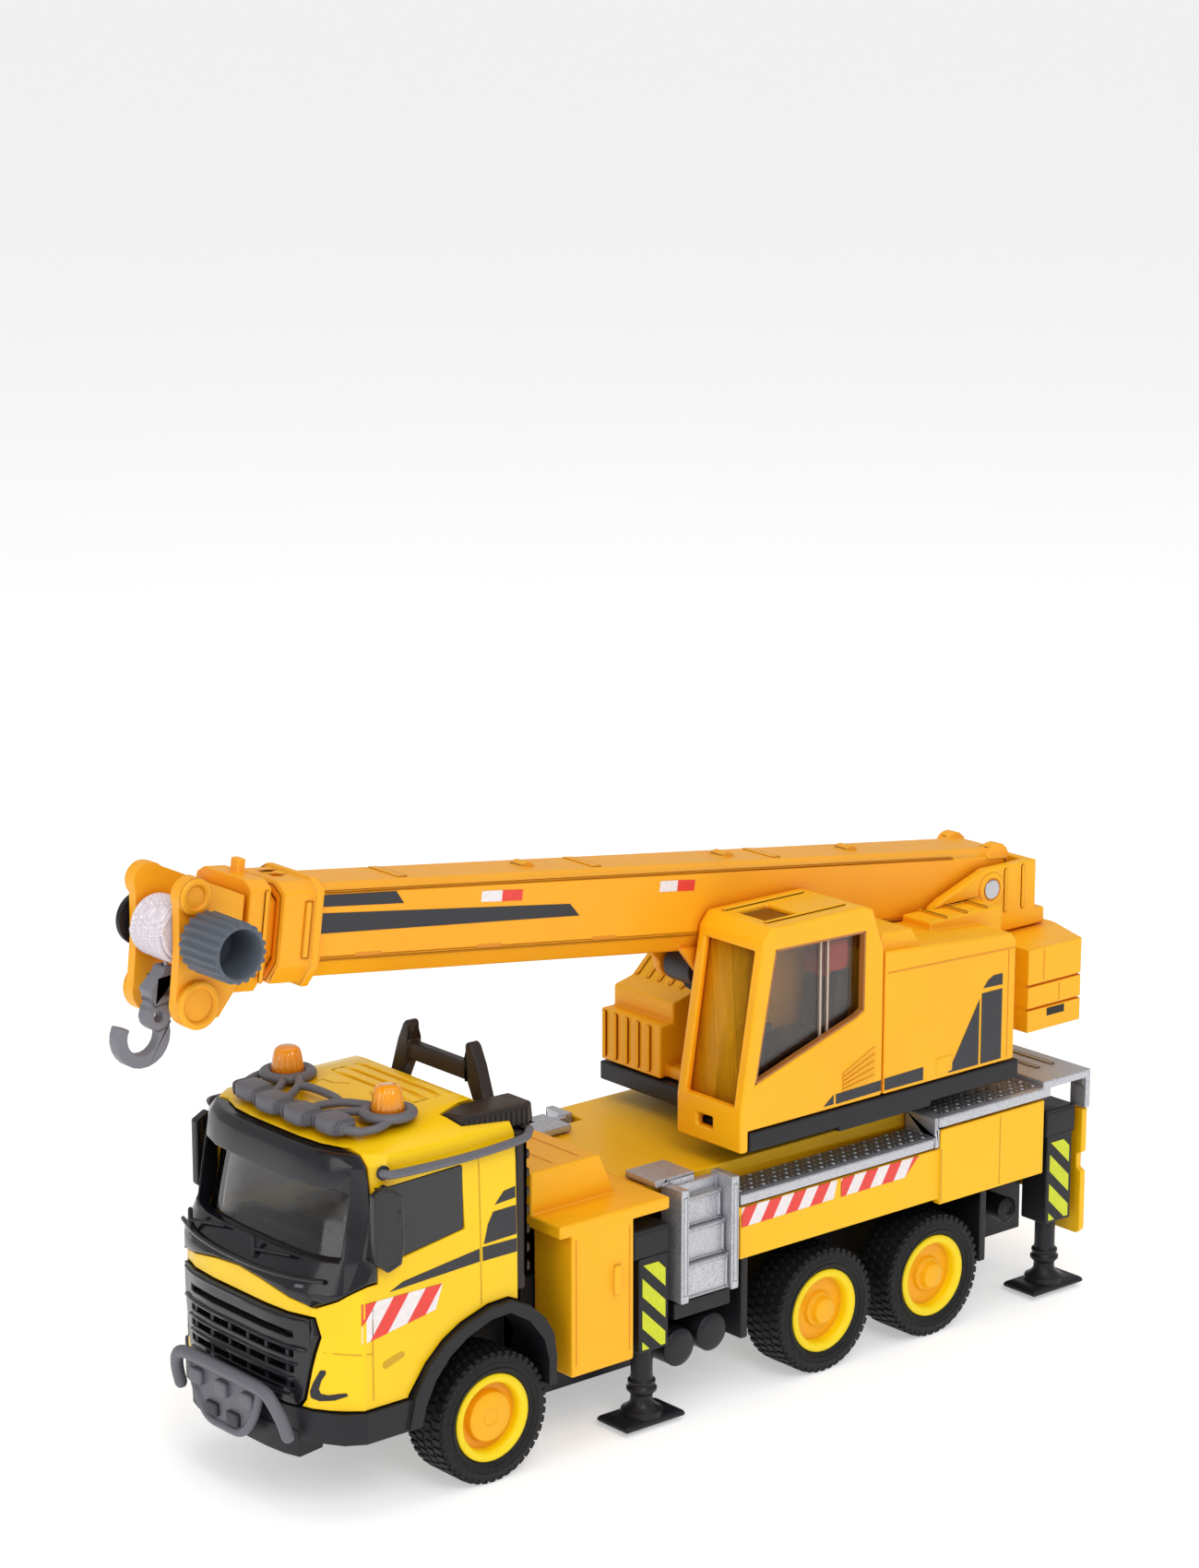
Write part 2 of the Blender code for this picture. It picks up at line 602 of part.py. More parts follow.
def outrigger(end, side, sign, centre, tongue):
    """One sliding beam with its upright column, and the jack in it."""
    name = f"{end}_{side}"
    half = COLUMN_WIDTH / 2
    column = block((centre - half, centre + half), (18.6, 25.2), (COLUMN_LOW, COLUMN_TOP))
    arm = block((tongue[0], tongue[1]), (-12.0, 19.0), (BEAM_LOW, COLUMN_TOP))
    box = block((min(tongue[2], centre - half), max(tongue[3], centre + half)), (15.6, 25.4),
                (BEAM_LOW, COLUMN_TOP))
    bore = disc((centre, JACK_Y), 2.3, 5, 36.6, "z", 16)
    piece(f"outrigger_beam_{name}", BLACK, f"beam_{name}", [sided(s, sign) for s in (column, arm, box)],
          [sided(bore, sign)])
    profile = [(0, 1.6), (3.4, 1.6), (3.4, 2.9), (2.0, 3.6), (2.0, 6.6), (2.7, 7.0), (2.7, 8.0), (2.0, 8.4),
               (2.0, 29.6), (0, 29.6)]
    rod = turned(profile, (centre, JACK_Y), "z", 16)
    plate = loft([
        [(centre + sx * (7.0 - b), 21.8 + sy * (4.25 - b), z) for sx,
         sy in ((-1, -1), (1, -1), (1, 1), (-1, 1))]
        for z, b in ((0.9, 0.0), (1.9, 0.0), (2.5, 1.6))
    ])
    piece(f"jack_{name}", BLACK, f"jack_{name}", [sided(rod, sign), sided(plate, sign)])


# Upper works


def slew_pivot():
    profile = [(0, 31.4), (2.6, 31.4), (2.6, 43.6), (14.0, 43.6), (14.0, 46.7), (4.0, 46.7), (4.0, 51.2),
               (6.4, 51.3), (6.4, 52.6), (0, 52.6)]
    piece("slew_pivot", STEEL, "truck", [turned(profile, (SLEW_X, 0), "z")], round_edges=True)


def crane_base():
    left_front, right_front, rear = -12.4, -20.0, -82.0
    plate = prism([(left_front, 25.5), (left_front, 7.9), (right_front, 7.9), (right_front, -25.5),
                   (rear, -25.5), (rear, 25.5)],
                  BASE_LOW, BASE_TOP, "z")
    steps = both(block((-58.6, -34.7), (23.0, 25.5), (46.3, BASE_LOW + 0.5)))
    bore = disc((SLEW_X, 0), 4.0 + GAP, 40, 60, "z")
    piece("crane_base", BLACK, "upper", [plate, *steps], [bore])


def crane_body():
    """Upper structure: engine cover, right-hand body, floor, and the tower that holds the boom."""
    floor = block((-87, -22), (-9.5, TOWER_Y[0] - 0.7), (BODY_LOW, FLOOR_TOP))
    rear_floor = block((-87, -46.2), (-9.5, 9.5), (BODY_LOW, FLOOR_TOP))
    cover = prism([(-45.9, BODY_LOW), (-45.9, 78.8), (-79.4, 76.4), (-80.6, 75.0), (-80.6, BODY_LOW)],
                  TOWER_Y[0], 25.5)
    hump = prism([(-45.9, 76), (-45.9, 82.0), (-54.0, 81.6), (-57.2, 77.4), (-57.2, 74)], 11.0, 24.0)
    hood = block((-85.4, -66.0), (9.2, 17.0), (72.0, 79.0))
    right = prism([
        (-20.3, BODY_LOW), (-20.3, 61.5), (-23.5, 61.5), (-23.5, 65.5), (-28.0, 66.6), (-38.0, 76.0),
        (-46.0, 78.0), (-79.4, 76.4), (-80.6, 75.0), (-80.6, BODY_LOW),
    ], -25.5, -TOWER_Y[0])
    plate = prism([
        (-73, BODY_LOW), (-73, 79.0), (-75.6, 80.3), (-87.4, 84.3), (-101.2, 84.3), (-101.2, 74.3),
        (-103.8, 74.3), (-103.8, 71.0), (-87.0, 71.0), (-87.0, BODY_LOW),
    ], *TOWER_Y)
    rear_wall = block((-101.2, -99.4), (-10, 10), (71.0, 84.3))
    ledge = block((-103.8, -99.4), (-10.8, 10.8), (71.0, 74.3))
    tail = block((-87, -79), (-16, 16), (BODY_LOW, 66.0))
    lugs = both(prism([(FOOT_X - 3.4, 52.5), (FOOT_X + 3.4, 52.5)] + arc((FOOT_X, FOOT_Z), 2.9, 0, 180, 6),
                      2.9, 4.9))
    bores = [disc((PIVOT_X, PIVOT_Z), PIVOT_PIN_RADIUS + GAP, -20, 20, segments=16),
             disc((FOOT_X, FOOT_Z), EYE_PIN_RADIUS + GAP, -8, 8, segments=12)]
    socket = disc((SLEW_X, 0), 7.2, 40, 53.4, "z")
    barrel_room = block((-60.2, -50.4), (-4.6, 4.6), (51.9, 56.0))
    piece("crane_body", AMBER_YELLOW, "upper",
          [floor, rear_floor, cover, hump, hood, right, *both(plate), rear_wall, ledge, tail,
           *lugs], [*bores, socket, barrel_room])


def counterweight():
    """Three slabs on a core that is a little smaller, so that two grooves run round it."""
    plan = [(-87.3, 22.5), (-102.0, 22.5), (REAR_END, 11.0)]
    outline = plan + [(x, -y) for x, y in plan[::-1]]
    inside = [(x * 0.992 - 0.75, y * 0.972) for x, y in outline]
    slabs = [prism(outline, low, high, "z") for low, high in ((54.2, 58.5), (59.0, 63.2), (63.7, 70.7))]
    piece("counterweight", AMBER_YELLOW, "upper", [*slabs, prism(inside, 58.0, 64.2, "z")])


OPERATOR_PROFILE = [
    (-10.2, 47.3), (-10.2, 55.0), (-15.4, 86.0), (-17.4, 88.5), (-39.8, 88.5), (-42.6, 87.6),
    (-45.6, 79.4), (-45.6, BODY_LOW), (-12.1, BODY_LOW), (-12.1, 47.3),
]
OPERATOR_INSIDE = [
    (-12.0, 53.0), (-12.0, 55.4), (-16.8, 85.4), (-18.2, 86.9), (-39.4, 86.9), (-41.4, 86.2),
    (-44.0, 79.2), (-44.0, 53.0),
]
OPERATOR_WINDOW = [(-18.6, 84.1), (-40.9, 83.6), (-40.8, 68.6), (-39.0, 67.6), (-13.8, 59.8)]


def operator_cab():
    y0, y1 = OPERATOR_Y
    hollow = prism(OPERATOR_INSIDE, y0 + 1.5, y1 - 1.6)
    screen = prism([(-5, 55.6), (-14.6, 55.6), (-20.6, 84.0), (-5, 84.0)], y0 + 2.2, y1 - 2.4)
    side = prism(OPERATOR_WINDOW, 20, 30)
    roof = block((-28.0, -20.0), (12.5, 21.0), (80, 95))
    slot = block((-14, -9), (13.4, 17.6), (50.2, 52.4))
    piece("operator_cab", AMBER_YELLOW, "upper", [prism(OPERATOR_PROFILE, y0, y1)],
          [hollow, screen, side, roof, slot])


def shrunk(outline, amount):
    """An outline drawn in towards its middle by about amount."""
    xs, zs = [p[0] for p in outline], [p[1] for p in outline]
    centre = ((min(xs) + max(xs)) / 2, (min(zs) + max(zs)) / 2)
    scale = [1 - 2 * amount / (max(v) - min(v)) for v in (xs, zs)]
    return [tuple(c + (v - c) * k for v, c, k in zip(p, centre, scale)) for p in outline]


def operator_glazing():
    y0, y1 = OPERATOR_Y
    outer = prism(shrunk(OPERATOR_INSIDE, 0.35), y0 + 1.9, y1 - 1.9)
    inner = prism(shrunk(OPERATOR_INSIDE, 1.15), y0 + 1.0, y1 - 2.7)
    rear = block((-50, -42.6), (0, 30), (40, 95))
    below = block((-50, 0), (0, 30), (40, 54.4))
    piece("operator_glazing", CLEAR, "upper", [outer], [inner, rear, below])


def operator_seat():
    seat = prism([(-40.5, 53.5), (-28.0, 53.5), (-28.0, 60.5), (-36.6, 61.8), (-38.6, 75.5), (-41.6, 75.5)],
                 11.6, 20.4)
    console = prism([(-30, 53.5), (-18.5, 53.5), (-18.5, 57.0), (-21.0, 66.5), (-24.0, 66.5), (-25, 57)],
                    12.4, 15.4)
    stick = tube([(-22, 17.6, 53.8), (-22.6, 17.6, 66.0)], 0.8)
    floor = block((-41.0, -17.0), (11.0, 21.0), (53.3, 54.2))
    piece("operator_seat", GREY, "upper", [floor, seat, console, stick])


# Boom. Outlines here are in the boom's own tilted directions, from its pivot.


def boom_section(half, top, bottom, corner, foot):
    """Boom cross-section: chamfered above, drawn in below."""
    left = [(half - corner, top), (half, top - 0.6 * corner), (half, bottom + 1.45 * foot),
            (half - foot, bottom)]
    return left + [(-y, h) for y, h in left[::-1]]


def boom_pin():
    piece("boom_pin", STEEL, "boom", [disc((0, 0), PIVOT_PIN_RADIUS, -11.2, 11.2, segments=16)],
          drawn="boom", round_edges=True)


def boom_base():
    outer = boom_section(BOOM_HALF, BOOM_TOP, BOOM_BOTTOM, 2.5, 2.4)
    inner = boom_section(6.2, 5.7, -7.97, 1.8, 1.8)
    tube_body = prism(outer, -6.6, BASE_END, "x")
    cavity = prism(inner, 14.0, BASE_END + 5, "x")
    collar = prism(boom_section(8.2, 7.7, -9.9, 2.5, 2.4), 161.2, BASE_END - 0.4, "x")
    ring = prism(boom_section(8.9, 8.3, -10.6, 2.6, 2.5), 159.8, 161.4, "x")
    lobes = both(disc((-4.8, 5.25), 3.0, 4.4, 7.4, segments=16))
    ears = both(prism([(58.0, -8.5), (76.0, -8.5)] + arc((LUG_S, LUG_H), 3.2, 0, -180, 6), 4.7, 6.6))
    top_lugs = [disc((s, 6.2), 1.7, -1.5, 1.5, segments=12) for s in (164.6, 110.0, 62.0, 30.0)]
    heel = prism(arc((0, 0), HEEL_RADIUS, 180, 262, 8) + [(-1.3, -20), (-20, -20), (-20, 0)], -12, 12)
    bores = [disc((0, 0), PIVOT_PIN_RADIUS + GAP, -12, 12, segments=16),
             disc((LUG_S, LUG_H), EYE_PIN_RADIUS + GAP, -8, 8, segments=12)]
    piece("boom_base", BOOM_ORANGE, "boom", [tube_body, collar, ring, *lobes, *ears, *top_lugs],
          [cavity, heel, *bores], drawn="boom")


def boom_mid():
    outer = boom_section(5.9, 5.4, -7.6, 1.8, 1.8)
    inner = boom_section(4.6, 4.1, -6.3, 1.4, 1.4)
    body_tube = prism(outer, 34.0, MID_END - 1, "x")
    collar = prism(boom_section(8.0, 8.3, -11.0, 2.0, 2.6), 170.2, MID_END, "x")
    lug = block((171.0, 172.6), (-1.2, 1.2), (7.0, 10.8))
    piece("boom_mid", BOOM_ORANGE, "boom_mid", [body_tube, collar, lug], [prism(inner, 30, 180, "x")],
          drawn="boom")


def head_plate():
    outline = arc(UPPER_BOSS, UPPER_BOSS_RADIUS, 20, 130, 6) + [(175.2, 6.0), (175.2, -9.4), (178.4, -14.4)]
    outline += arc(LOWER_BOSS, LOWER_BOSS_RADIUS, -140, 10, 8) + [(187.3, -3)]
    return prism(outline, 5.3, 7.3)


def boom_tip():
    tongue = prism(boom_section(4.3, 3.8, -6.0, 1.3, 1.3), 48.0, 178.0, "x")
    neck = prism(boom_section(7.0, 6.0, -9.4, 1.5, 1.8), 175.0, 177.6, "x")
    bosses = both(disc(UPPER_BOSS, UPPER_BOSS_RADIUS, 5.3, 7.9, segments=16))
    bosses += both(disc(LOWER_BOSS, LOWER_BOSS_RADIUS, 5.3, 7.9, segments=16))
    bore = disc((DRUM_S, DRUM_H), SHAFT_RADIUS + GAP, -12, 12, segments=16)
    piece("boom_tip", BOOM_ORANGE, "boom_tip", [tongue, neck, *both(head_plate()), *bosses], [bore],
          drawn="boom")


def winch():
    centre = (DRUM_S, DRUM_H)
    ribs = 18
    knob = []
    for i in range(ribs):
        for step, radius in ((0, 4.75), (0.25, 5.25), (0.6, 5.25)):
            angle = 2 * math.pi * (i + step) / ribs
            knob.append((DRUM_S + radius * math.cos(angle), DRUM_H + radius * math.sin(angle)))
    grip = prism(knob, 9.6, 20.4)
    shaft = disc(centre, SHAFT_RADIUS, -9.0, 10.4, segments=16)
    cap = disc(centre, 4.6, -9.8, -8.2)
    hub = disc(centre, 2.8, 8.2, 10.4, segments=16)
    piece("winch_knob", GREY, "winch", [grip, hub, shaft, cap], [disc(centre, 4.1, 12.0, 22.0)], drawn="boom")
    hole = SHAFT_RADIUS + GAP / 2
    coil = [(hole, -4.9), (DRUM_RADIUS - 0.6, -4.9), (DRUM_RADIUS, -3.6), (DRUM_RADIUS, 3.6),
            (DRUM_RADIUS - 0.6, 4.9), (hole, 4.9)]
    piece("thread_coil", THREAD, "winch", [turned(coil, centre, "y", ring=True)], drawn="boom",
          round_edges=True)


def hoist_line():
    profile = [(0, LINE_END), (LINE_RADIUS, LINE_END), (LINE_RADIUS, LINE_TOP), (0, LINE_TOP)]
    piece("hoist_line", THREAD, "hoist", [turned(profile, (LINE_X, 0), "z", 10)], round_edges=True)


def hook():
    ring = prism(arc((HOOK_X, HOOK_Z), 5.4, 28, -228, 16) + arc((HOOK_X, HOOK_Z), 3.1, -232, 34, 14), -1.2,
                 1.2)
    eye = disc((97.9, 89.0), 2.5, -1.4, 1.4, segments=12)
    shank = prism([(95.8, 89.0), (99.8, 89.6), (99.4, 92.0), (95.2, 91.4)], -1.3, 1.3)
    head = prism([(94.0, 91.6), (98.9, 90.8), (99.9, 93.8), (97.4, 96.2), (96.8, 97.3), (95.0, 97.3),
                  (93.7, 96.2), (93.2, 94.6)], -1.7, 1.7)
    window = block((94.6, 97.8), (-3, 3), (92.4, 95.4))
    bore = disc((LINE_X, 0), LINE_RADIUS + GAP, 94, 99, "z", 10)
    piece("hook", GREY, "hook", [ring, eye, shank, head],
          [window, bore, disc((97.9, 89.0), 1.0, -3, 3, segments=10)])


def luff_cylinder():
    """The barrel hangs from the boom and the rod stands on the upper works; they slide in each other."""
    foot, eye = Vector((FOOT_X, 0, FOOT_Z)), boom_point(LUG_S, LUG_H)
    along = (eye - foot).normalized()
    eye_xz, foot_xz = (eye.x, eye.z), (foot.x, foot.z)
    barrel = tube([eye - along * 2.2, eye - along * BARREL_LENGTH], BARREL_RADIUS, 16)
    bore = tube([eye - along * 3.8, eye - along * (BARREL_LENGTH + 5)], BARREL_BORE, 16)
    knuckle = disc(eye_xz, 3.3, -3.5, 3.5, segments=16)
    pin = disc(eye_xz, EYE_PIN_RADIUS, -6.9, 6.9, segments=12)
    piece("luff_barrel", BLACK, "barrel", [barrel, knuckle, pin], [bore], round_edges=True)
    rod = tube([foot + along * 1.5, foot + along * ROD_LENGTH], ROD_RADIUS, 12)
    foot_eye = disc(foot_xz, 2.4, -2.4, 2.4, segments=16)
    pin = disc(foot_xz, EYE_PIN_RADIUS, -5.2, 5.2, segments=12)
    piece("luff_rod", STEEL, "rod", [rod, foot_eye, pin], round_edges=True)


def boom_point(s, h):
    """A point given in the boom's tilted directions, in the truck's."""
    turn = Matrix.Rotation(-BOOM_TILT, 3, "Y")
    return Vector((PIVOT_X, 0, PIVOT_Z)) + turn @ Vector((s, 0, h))


def make_bodies():
    body("truck")
    for index, x in enumerate(AXLE_X, 1):
        body(f"axle_{index}", (x, 0, WHEEL_RADIUS), "truck")
    for end, x in (("front", COLUMN_FRONT_X), ("rear", COLUMN_REAR_X)):
        for side, sign in SIDES:
            body(f"beam_{end}_{side}", (x, 0, BEAM_LOW), "truck")
            body(f"jack_{end}_{side}", (x, sign * JACK_Y, COLUMN_LOW), f"beam_{end}_{side}")
    body("upper", (SLEW_X, 0, BASE_LOW), "truck")
    body("boom", (PIVOT_X, 0, PIVOT_Z), "upper", BOOM_TILT)
    body("boom_mid", boom_point(MID_END, 0), "boom", BOOM_TILT)
    body("boom_tip", boom_point(HEAD_END, 0), "boom_mid", BOOM_TILT)
    body("winch", boom_point(DRUM_S, DRUM_H), "boom_tip", BOOM_TILT)
    body("hoist", (LINE_X, 0, LINE_TOP), "boom_tip")
    body("hook", (LINE_X, 0, LINE_TOP), "hoist")
    body("rod", (FOOT_X, 0, FOOT_Z), "upper")
    body("barrel", boom_point(LUG_S, LUG_H), "boom")


def build():
    make_bodies()
    cab_shell()
    front_mask()
    cab_glazing()
    grille()
    bumper()
    bull_bar()
    light_bar()
    back_panel()
    cab_interior()
    chassis()
    deck()
    walkway()
    rear_panel()
    toolbox()
    for side, sign in SIDES:
        beacon(side, sign)
        roof_rail(side, sign)
        ladder(side, sign)
    for index, x in enumerate(AXLE_X, 1):
        wheelset(index, x)
    for end, x, low in (("front", COLUMN_FRONT_X, 7.0), ("rear", COLUMN_REAR_X, -98.5)):
        outrigger(end, "left", 1, x, (low, low + 3.8, low, low + 8.1))
        outrigger(end, "right", -1, x, (low + 4.4, low + 8.2, low, low + 8.1))
    slew_pivot()
    crane_base()
    crane_body()
    counterweight()
    operator_cab()
    operator_glazing()
    operator_seat()
    boom_base()
    boom_mid()
    boom_tip()
    boom_pin()
    winch()
    hoist_line()
    hook()
    luff_cylinder()


build()
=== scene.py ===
"""Looks of the toy crane truck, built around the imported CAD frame.

Numbers are millimetres in the frame's directions: X forward, Y to the truck's left, Z up.
Boom outlines are in the boom's tilted directions: s along it from its pivot, h at right angles.
"""

import json
import math

import bmesh
import bpy
import numpy as np
from mathutils import Matrix, Vector
from mathutils.bvhtree import BVHTree

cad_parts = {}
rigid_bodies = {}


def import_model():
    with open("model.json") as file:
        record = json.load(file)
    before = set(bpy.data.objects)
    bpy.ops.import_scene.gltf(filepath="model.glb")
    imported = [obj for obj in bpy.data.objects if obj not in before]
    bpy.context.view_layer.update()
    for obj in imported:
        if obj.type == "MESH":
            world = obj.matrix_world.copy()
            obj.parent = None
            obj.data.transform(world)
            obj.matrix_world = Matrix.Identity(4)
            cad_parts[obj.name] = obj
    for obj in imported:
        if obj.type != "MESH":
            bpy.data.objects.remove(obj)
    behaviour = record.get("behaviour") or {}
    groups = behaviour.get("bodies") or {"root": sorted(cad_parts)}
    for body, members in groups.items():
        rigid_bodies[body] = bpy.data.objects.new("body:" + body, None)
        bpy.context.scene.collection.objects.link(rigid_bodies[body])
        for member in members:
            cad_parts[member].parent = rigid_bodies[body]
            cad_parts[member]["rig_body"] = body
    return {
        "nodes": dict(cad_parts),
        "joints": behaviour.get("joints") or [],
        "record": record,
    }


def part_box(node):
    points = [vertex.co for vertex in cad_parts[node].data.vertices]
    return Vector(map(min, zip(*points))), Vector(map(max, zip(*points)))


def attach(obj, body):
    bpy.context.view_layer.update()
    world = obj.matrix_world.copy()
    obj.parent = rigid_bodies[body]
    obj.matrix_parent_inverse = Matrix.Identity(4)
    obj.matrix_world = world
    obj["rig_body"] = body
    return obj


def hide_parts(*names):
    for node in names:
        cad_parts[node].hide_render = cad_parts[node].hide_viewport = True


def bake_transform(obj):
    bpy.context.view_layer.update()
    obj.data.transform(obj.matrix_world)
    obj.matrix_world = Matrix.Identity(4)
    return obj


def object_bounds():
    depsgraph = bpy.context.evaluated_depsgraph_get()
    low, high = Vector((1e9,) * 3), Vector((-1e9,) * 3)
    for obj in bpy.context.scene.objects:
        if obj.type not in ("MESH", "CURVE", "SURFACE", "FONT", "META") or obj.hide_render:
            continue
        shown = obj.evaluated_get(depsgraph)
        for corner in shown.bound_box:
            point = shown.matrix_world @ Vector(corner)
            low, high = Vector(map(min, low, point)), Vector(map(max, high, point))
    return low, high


MM = 0.001
SHARP = math.radians(28)
DECAL = 0.07  # how far a printed mark stands proud
SIDES = (("left", 1), ("right", -1))

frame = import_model()
CAD_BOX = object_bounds()
NODES = frame["nodes"]
BODY_OF = {n: b for b, members in frame["record"]["behaviour"]["bodies"].items() for n in members}
SLOT_OF = {part["node"]: part["material_slot"] for part in frame["record"]["subparts"]}
JOINTS = {joint["name"]: joint for joint in frame["joints"]}
BOOM_PIVOT = Vector(JOINTS["boom_luff"]["pos_m"])
BOOM_ALONG = Vector(JOINTS["boom_mid_slide"]["axis"]).normalized()
BOOM_TILT = math.atan2(BOOM_ALONG.z, BOOM_ALONG.x)
BOOM_FRAME = Matrix.Translation(BOOM_PIVOT) @ Matrix.Rotation(-BOOM_TILT, 4, "Y")


def box_mm(node):
    low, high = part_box(node)
    return low / MM, high / MM


# Materials


class Tree:
    """A material's node tree, with short calls for the nodes used here."""

    def __init__(self, name):
        self.material = bpy.data.materials.new(name)
        self.material.use_nodes = True
        self.nodes = self.material.node_tree.nodes
        self.links = self.material.node_tree.links
        self.shader = self.nodes["Principled BSDF"]
        self.place = self.add("ShaderNodeTexCoord").outputs["Object"]

    def add(self, kind, **settings):
        node = self.nodes.new(kind)
        for key, value in settings.items():
            setattr(node, key, value)
        return node

    def feed(self, socket, value):
        if hasattr(value, "links"):
            self.links.new(value, socket)
        else:
            socket.default_value = value

    def noise(self, size, detail=2.0, stretch=(1, 1, 1)):
        """Noise from 0 to 1 whose features are about size millimetres."""
        mapping = self.add("ShaderNodeMapping")
        mapping.inputs["Scale"].default_value = stretch
        self.links.new(self.place, mapping.inputs["Vector"])
        node = self.add("ShaderNodeTexNoise")
        node.inputs["Scale"].default_value = 1 / (size * MM)
        node.inputs["Detail"].default_value = detail
        self.links.new(mapping.outputs["Vector"], node.inputs["Vector"])
        return node.outputs["Fac"]

    def spread(self, value, low, high, start=0.3, end=0.7):
        node = self.add("ShaderNodeMapRange")
        self.links.new(value, node.inputs["Value"])
        for key, number in zip(("From Min", "From Max", "To Min", "To Max"), (start, end, low, high)):
            node.inputs[key].default_value = number
        return node.outputs["Result"]

    def blend(self, share, first, second):
        node = self.add("ShaderNodeMix", data_type="RGBA")
        self.feed(node.inputs["Factor"], share)
        self.feed(node.inputs["A"], first)
        self.feed(node.inputs["B"], second)
        return node.outputs["Result"]

    def bump(self, height, depth, normal=None):
        node = self.add("ShaderNodeBump")
        node.inputs["Distance"].default_value = depth * MM
        self.links.new(height, node.inputs["Height"])
        if normal is not None:
            self.links.new(normal, node.inputs["Normal"])
        return node.outputs["Normal"]

    def rounded(self, radius):
        node = self.add("ShaderNodeBevel", samples=4)
        node.inputs["Radius"].default_value = radius * MM
        return node.outputs["Normal"]

    def corner_shade_mask(self, reach):
        """0 on open surfaces, towards 1 deep in corners: the mask for painted shade in corners."""
        node = self.add("ShaderNodeAmbientOcclusion", samples=4)
        node.inputs["Distance"].default_value = reach * MM
        return self.spread(node.outputs["AO"], 1.0, 0.0, 0.25, 0.95)


def tone(color, factor):
    return (*[min(1.0, c * factor) for c in color], 1.0)


def moulded(name, color, roughness, mottle=0.05, grain=0.006, grain_size=0.35, corner=None, round_by=0.18,
            coat=0.0, soft=0.0, gleam=0.35):
    """Moulded or painted plastic: colour drift, fine grain, softened edges, and painted shade that deepens
    the colour in corners.
    """
    tree = Tree(name)
    shader = tree.shader
    drift = tree.noise(26, 3)
    base = tree.blend(tree.spread(drift, 0, 1), tone(color, 1 - mottle), tone(color, 1 + mottle))
    speckle = tree.spread(tree.noise(0.6, 4), 0.0, 0.5, 0.45, 0.8)
    base = tree.blend(speckle, base, tone(color, 1 + 0.8 * mottle))
    # Painted shade: the colour turns towards the corner colour where ambient occlusion finds corners and
    # crevices.
    if corner:
        base = tree.blend(tree.corner_shade_mask(2.6), base, (*corner, 1.0))
    tree.feed(shader.inputs["Base Color"], base)
    tree.feed(shader.inputs["Roughness"], tree.spread(tree.noise(3.0, 4), roughness - 0.05, roughness + 0.07))
    normal = tree.bump(tree.noise(grain_size, 3), grain, tree.rounded(round_by))
    tree.feed(shader.inputs["Normal"], normal)
    shader.inputs["Specular IOR Level"].default_value = gleam
    shader.inputs["Coat Weight"].default_value = coat
    shader.inputs["Coat Roughness"].default_value = 0.08
    if soft:
        shader.inputs["Subsurface Weight"].default_value = soft
        shader.inputs["Subsurface Radius"].default_value = (1.0, 0.45, 0.08)
        shader.inputs["Subsurface Scale"].default_value = 1.2 * MM
    return tree.material


def silver_paint():
    """Sprayed silver: metallic, with fine flake sparkle over a slightly lumpy coat, and painted shade
    darkening its corners.
    """
    tree = Tree("silver_paint")
    flake = tree.noise(0.22, 2)
    base = tree.blend(tree.spread(flake, 0, 1, 0.35, 0.65), (0.40, 0.41, 0.44, 1), (0.66, 0.67, 0.71, 1))
    # Painted shade: darker grey in corners and crevices.
    base = tree.blend(tree.corner_shade_mask(1.4), base, (0.2, 0.2, 0.22, 1))
    tree.feed(tree.shader.inputs["Base Color"], base)
    tree.shader.inputs["Metallic"].default_value = 0.75
    tree.feed(tree.shader.inputs["Roughness"], tree.spread(tree.noise(1.5, 4), 0.34, 0.5))
    lumps = tree.bump(tree.noise(0.5, 3), 0.02, tree.rounded(0.25))
    tree.feed(tree.shader.inputs["Normal"], tree.bump(flake, 0.01, lumps))
    return tree.material


def dark_tread():
    """Darker metallic paint between the raised marks of the tread plate."""
    tree = Tree("dark_tread")
    base = tree.blend(tree.spread(tree.noise(0.3, 3), 0, 1), (0.09, 0.09, 0.10, 1), (0.20, 0.20, 0.21, 1))
    tree.feed(tree.shader.inputs["Base Color"], base)
    tree.shader.inputs["Metallic"].default_value = 0.6
    tree.feed(tree.shader.inputs["Roughness"], tree.spread(tree.noise(1.0, 3), 0.38, 0.55))
    tree.feed(tree.shader.inputs["Normal"], tree.bump(tree.noise(0.3, 2), 0.01))
    return tree.material


def turned_steel():
    tree = Tree("turned_steel")
    rings = tree.noise(0.25, 2, (0.05, 1, 0.05))
    tree.feed(tree.shader.inputs["Base Color"], tree.blend(rings, (0.42, 0.42, 0.44, 1),
            (0.62, 0.62, 0.65, 1)))
    tree.shader.inputs["Metallic"].default_value = 1.0
    tree.feed(tree.shader.inputs["Roughness"], tree.spread(rings, 0.22, 0.36))
    tree.feed(tree.shader.inputs["Normal"], tree.bump(rings, 0.006, tree.rounded(0.12)))
    return tree.material


def tyre_rubber():
    tree = Tree("tyre_rubber")
    dust = tree.spread(tree.noise(1.2, 5), 0.0, 0.55, 0.4, 0.75)
    tree.feed(tree.shader.inputs["Base Color"], tree.blend(dust, (0.008, 0.008, 0.009, 1),
            (0.017, 0.017, 0.019, 1)))
    tree.feed(tree.shader.inputs["Roughness"], tree.spread(tree.noise(0.8, 4), 0.5, 0.68))
    tree.shader.inputs["Specular IOR Level"].default_value = 0.3
    tree.feed(tree.shader.inputs["Normal"], tree.bump(tree.noise(0.35, 4), 0.03, tree.rounded(0.15)))
    return tree.material


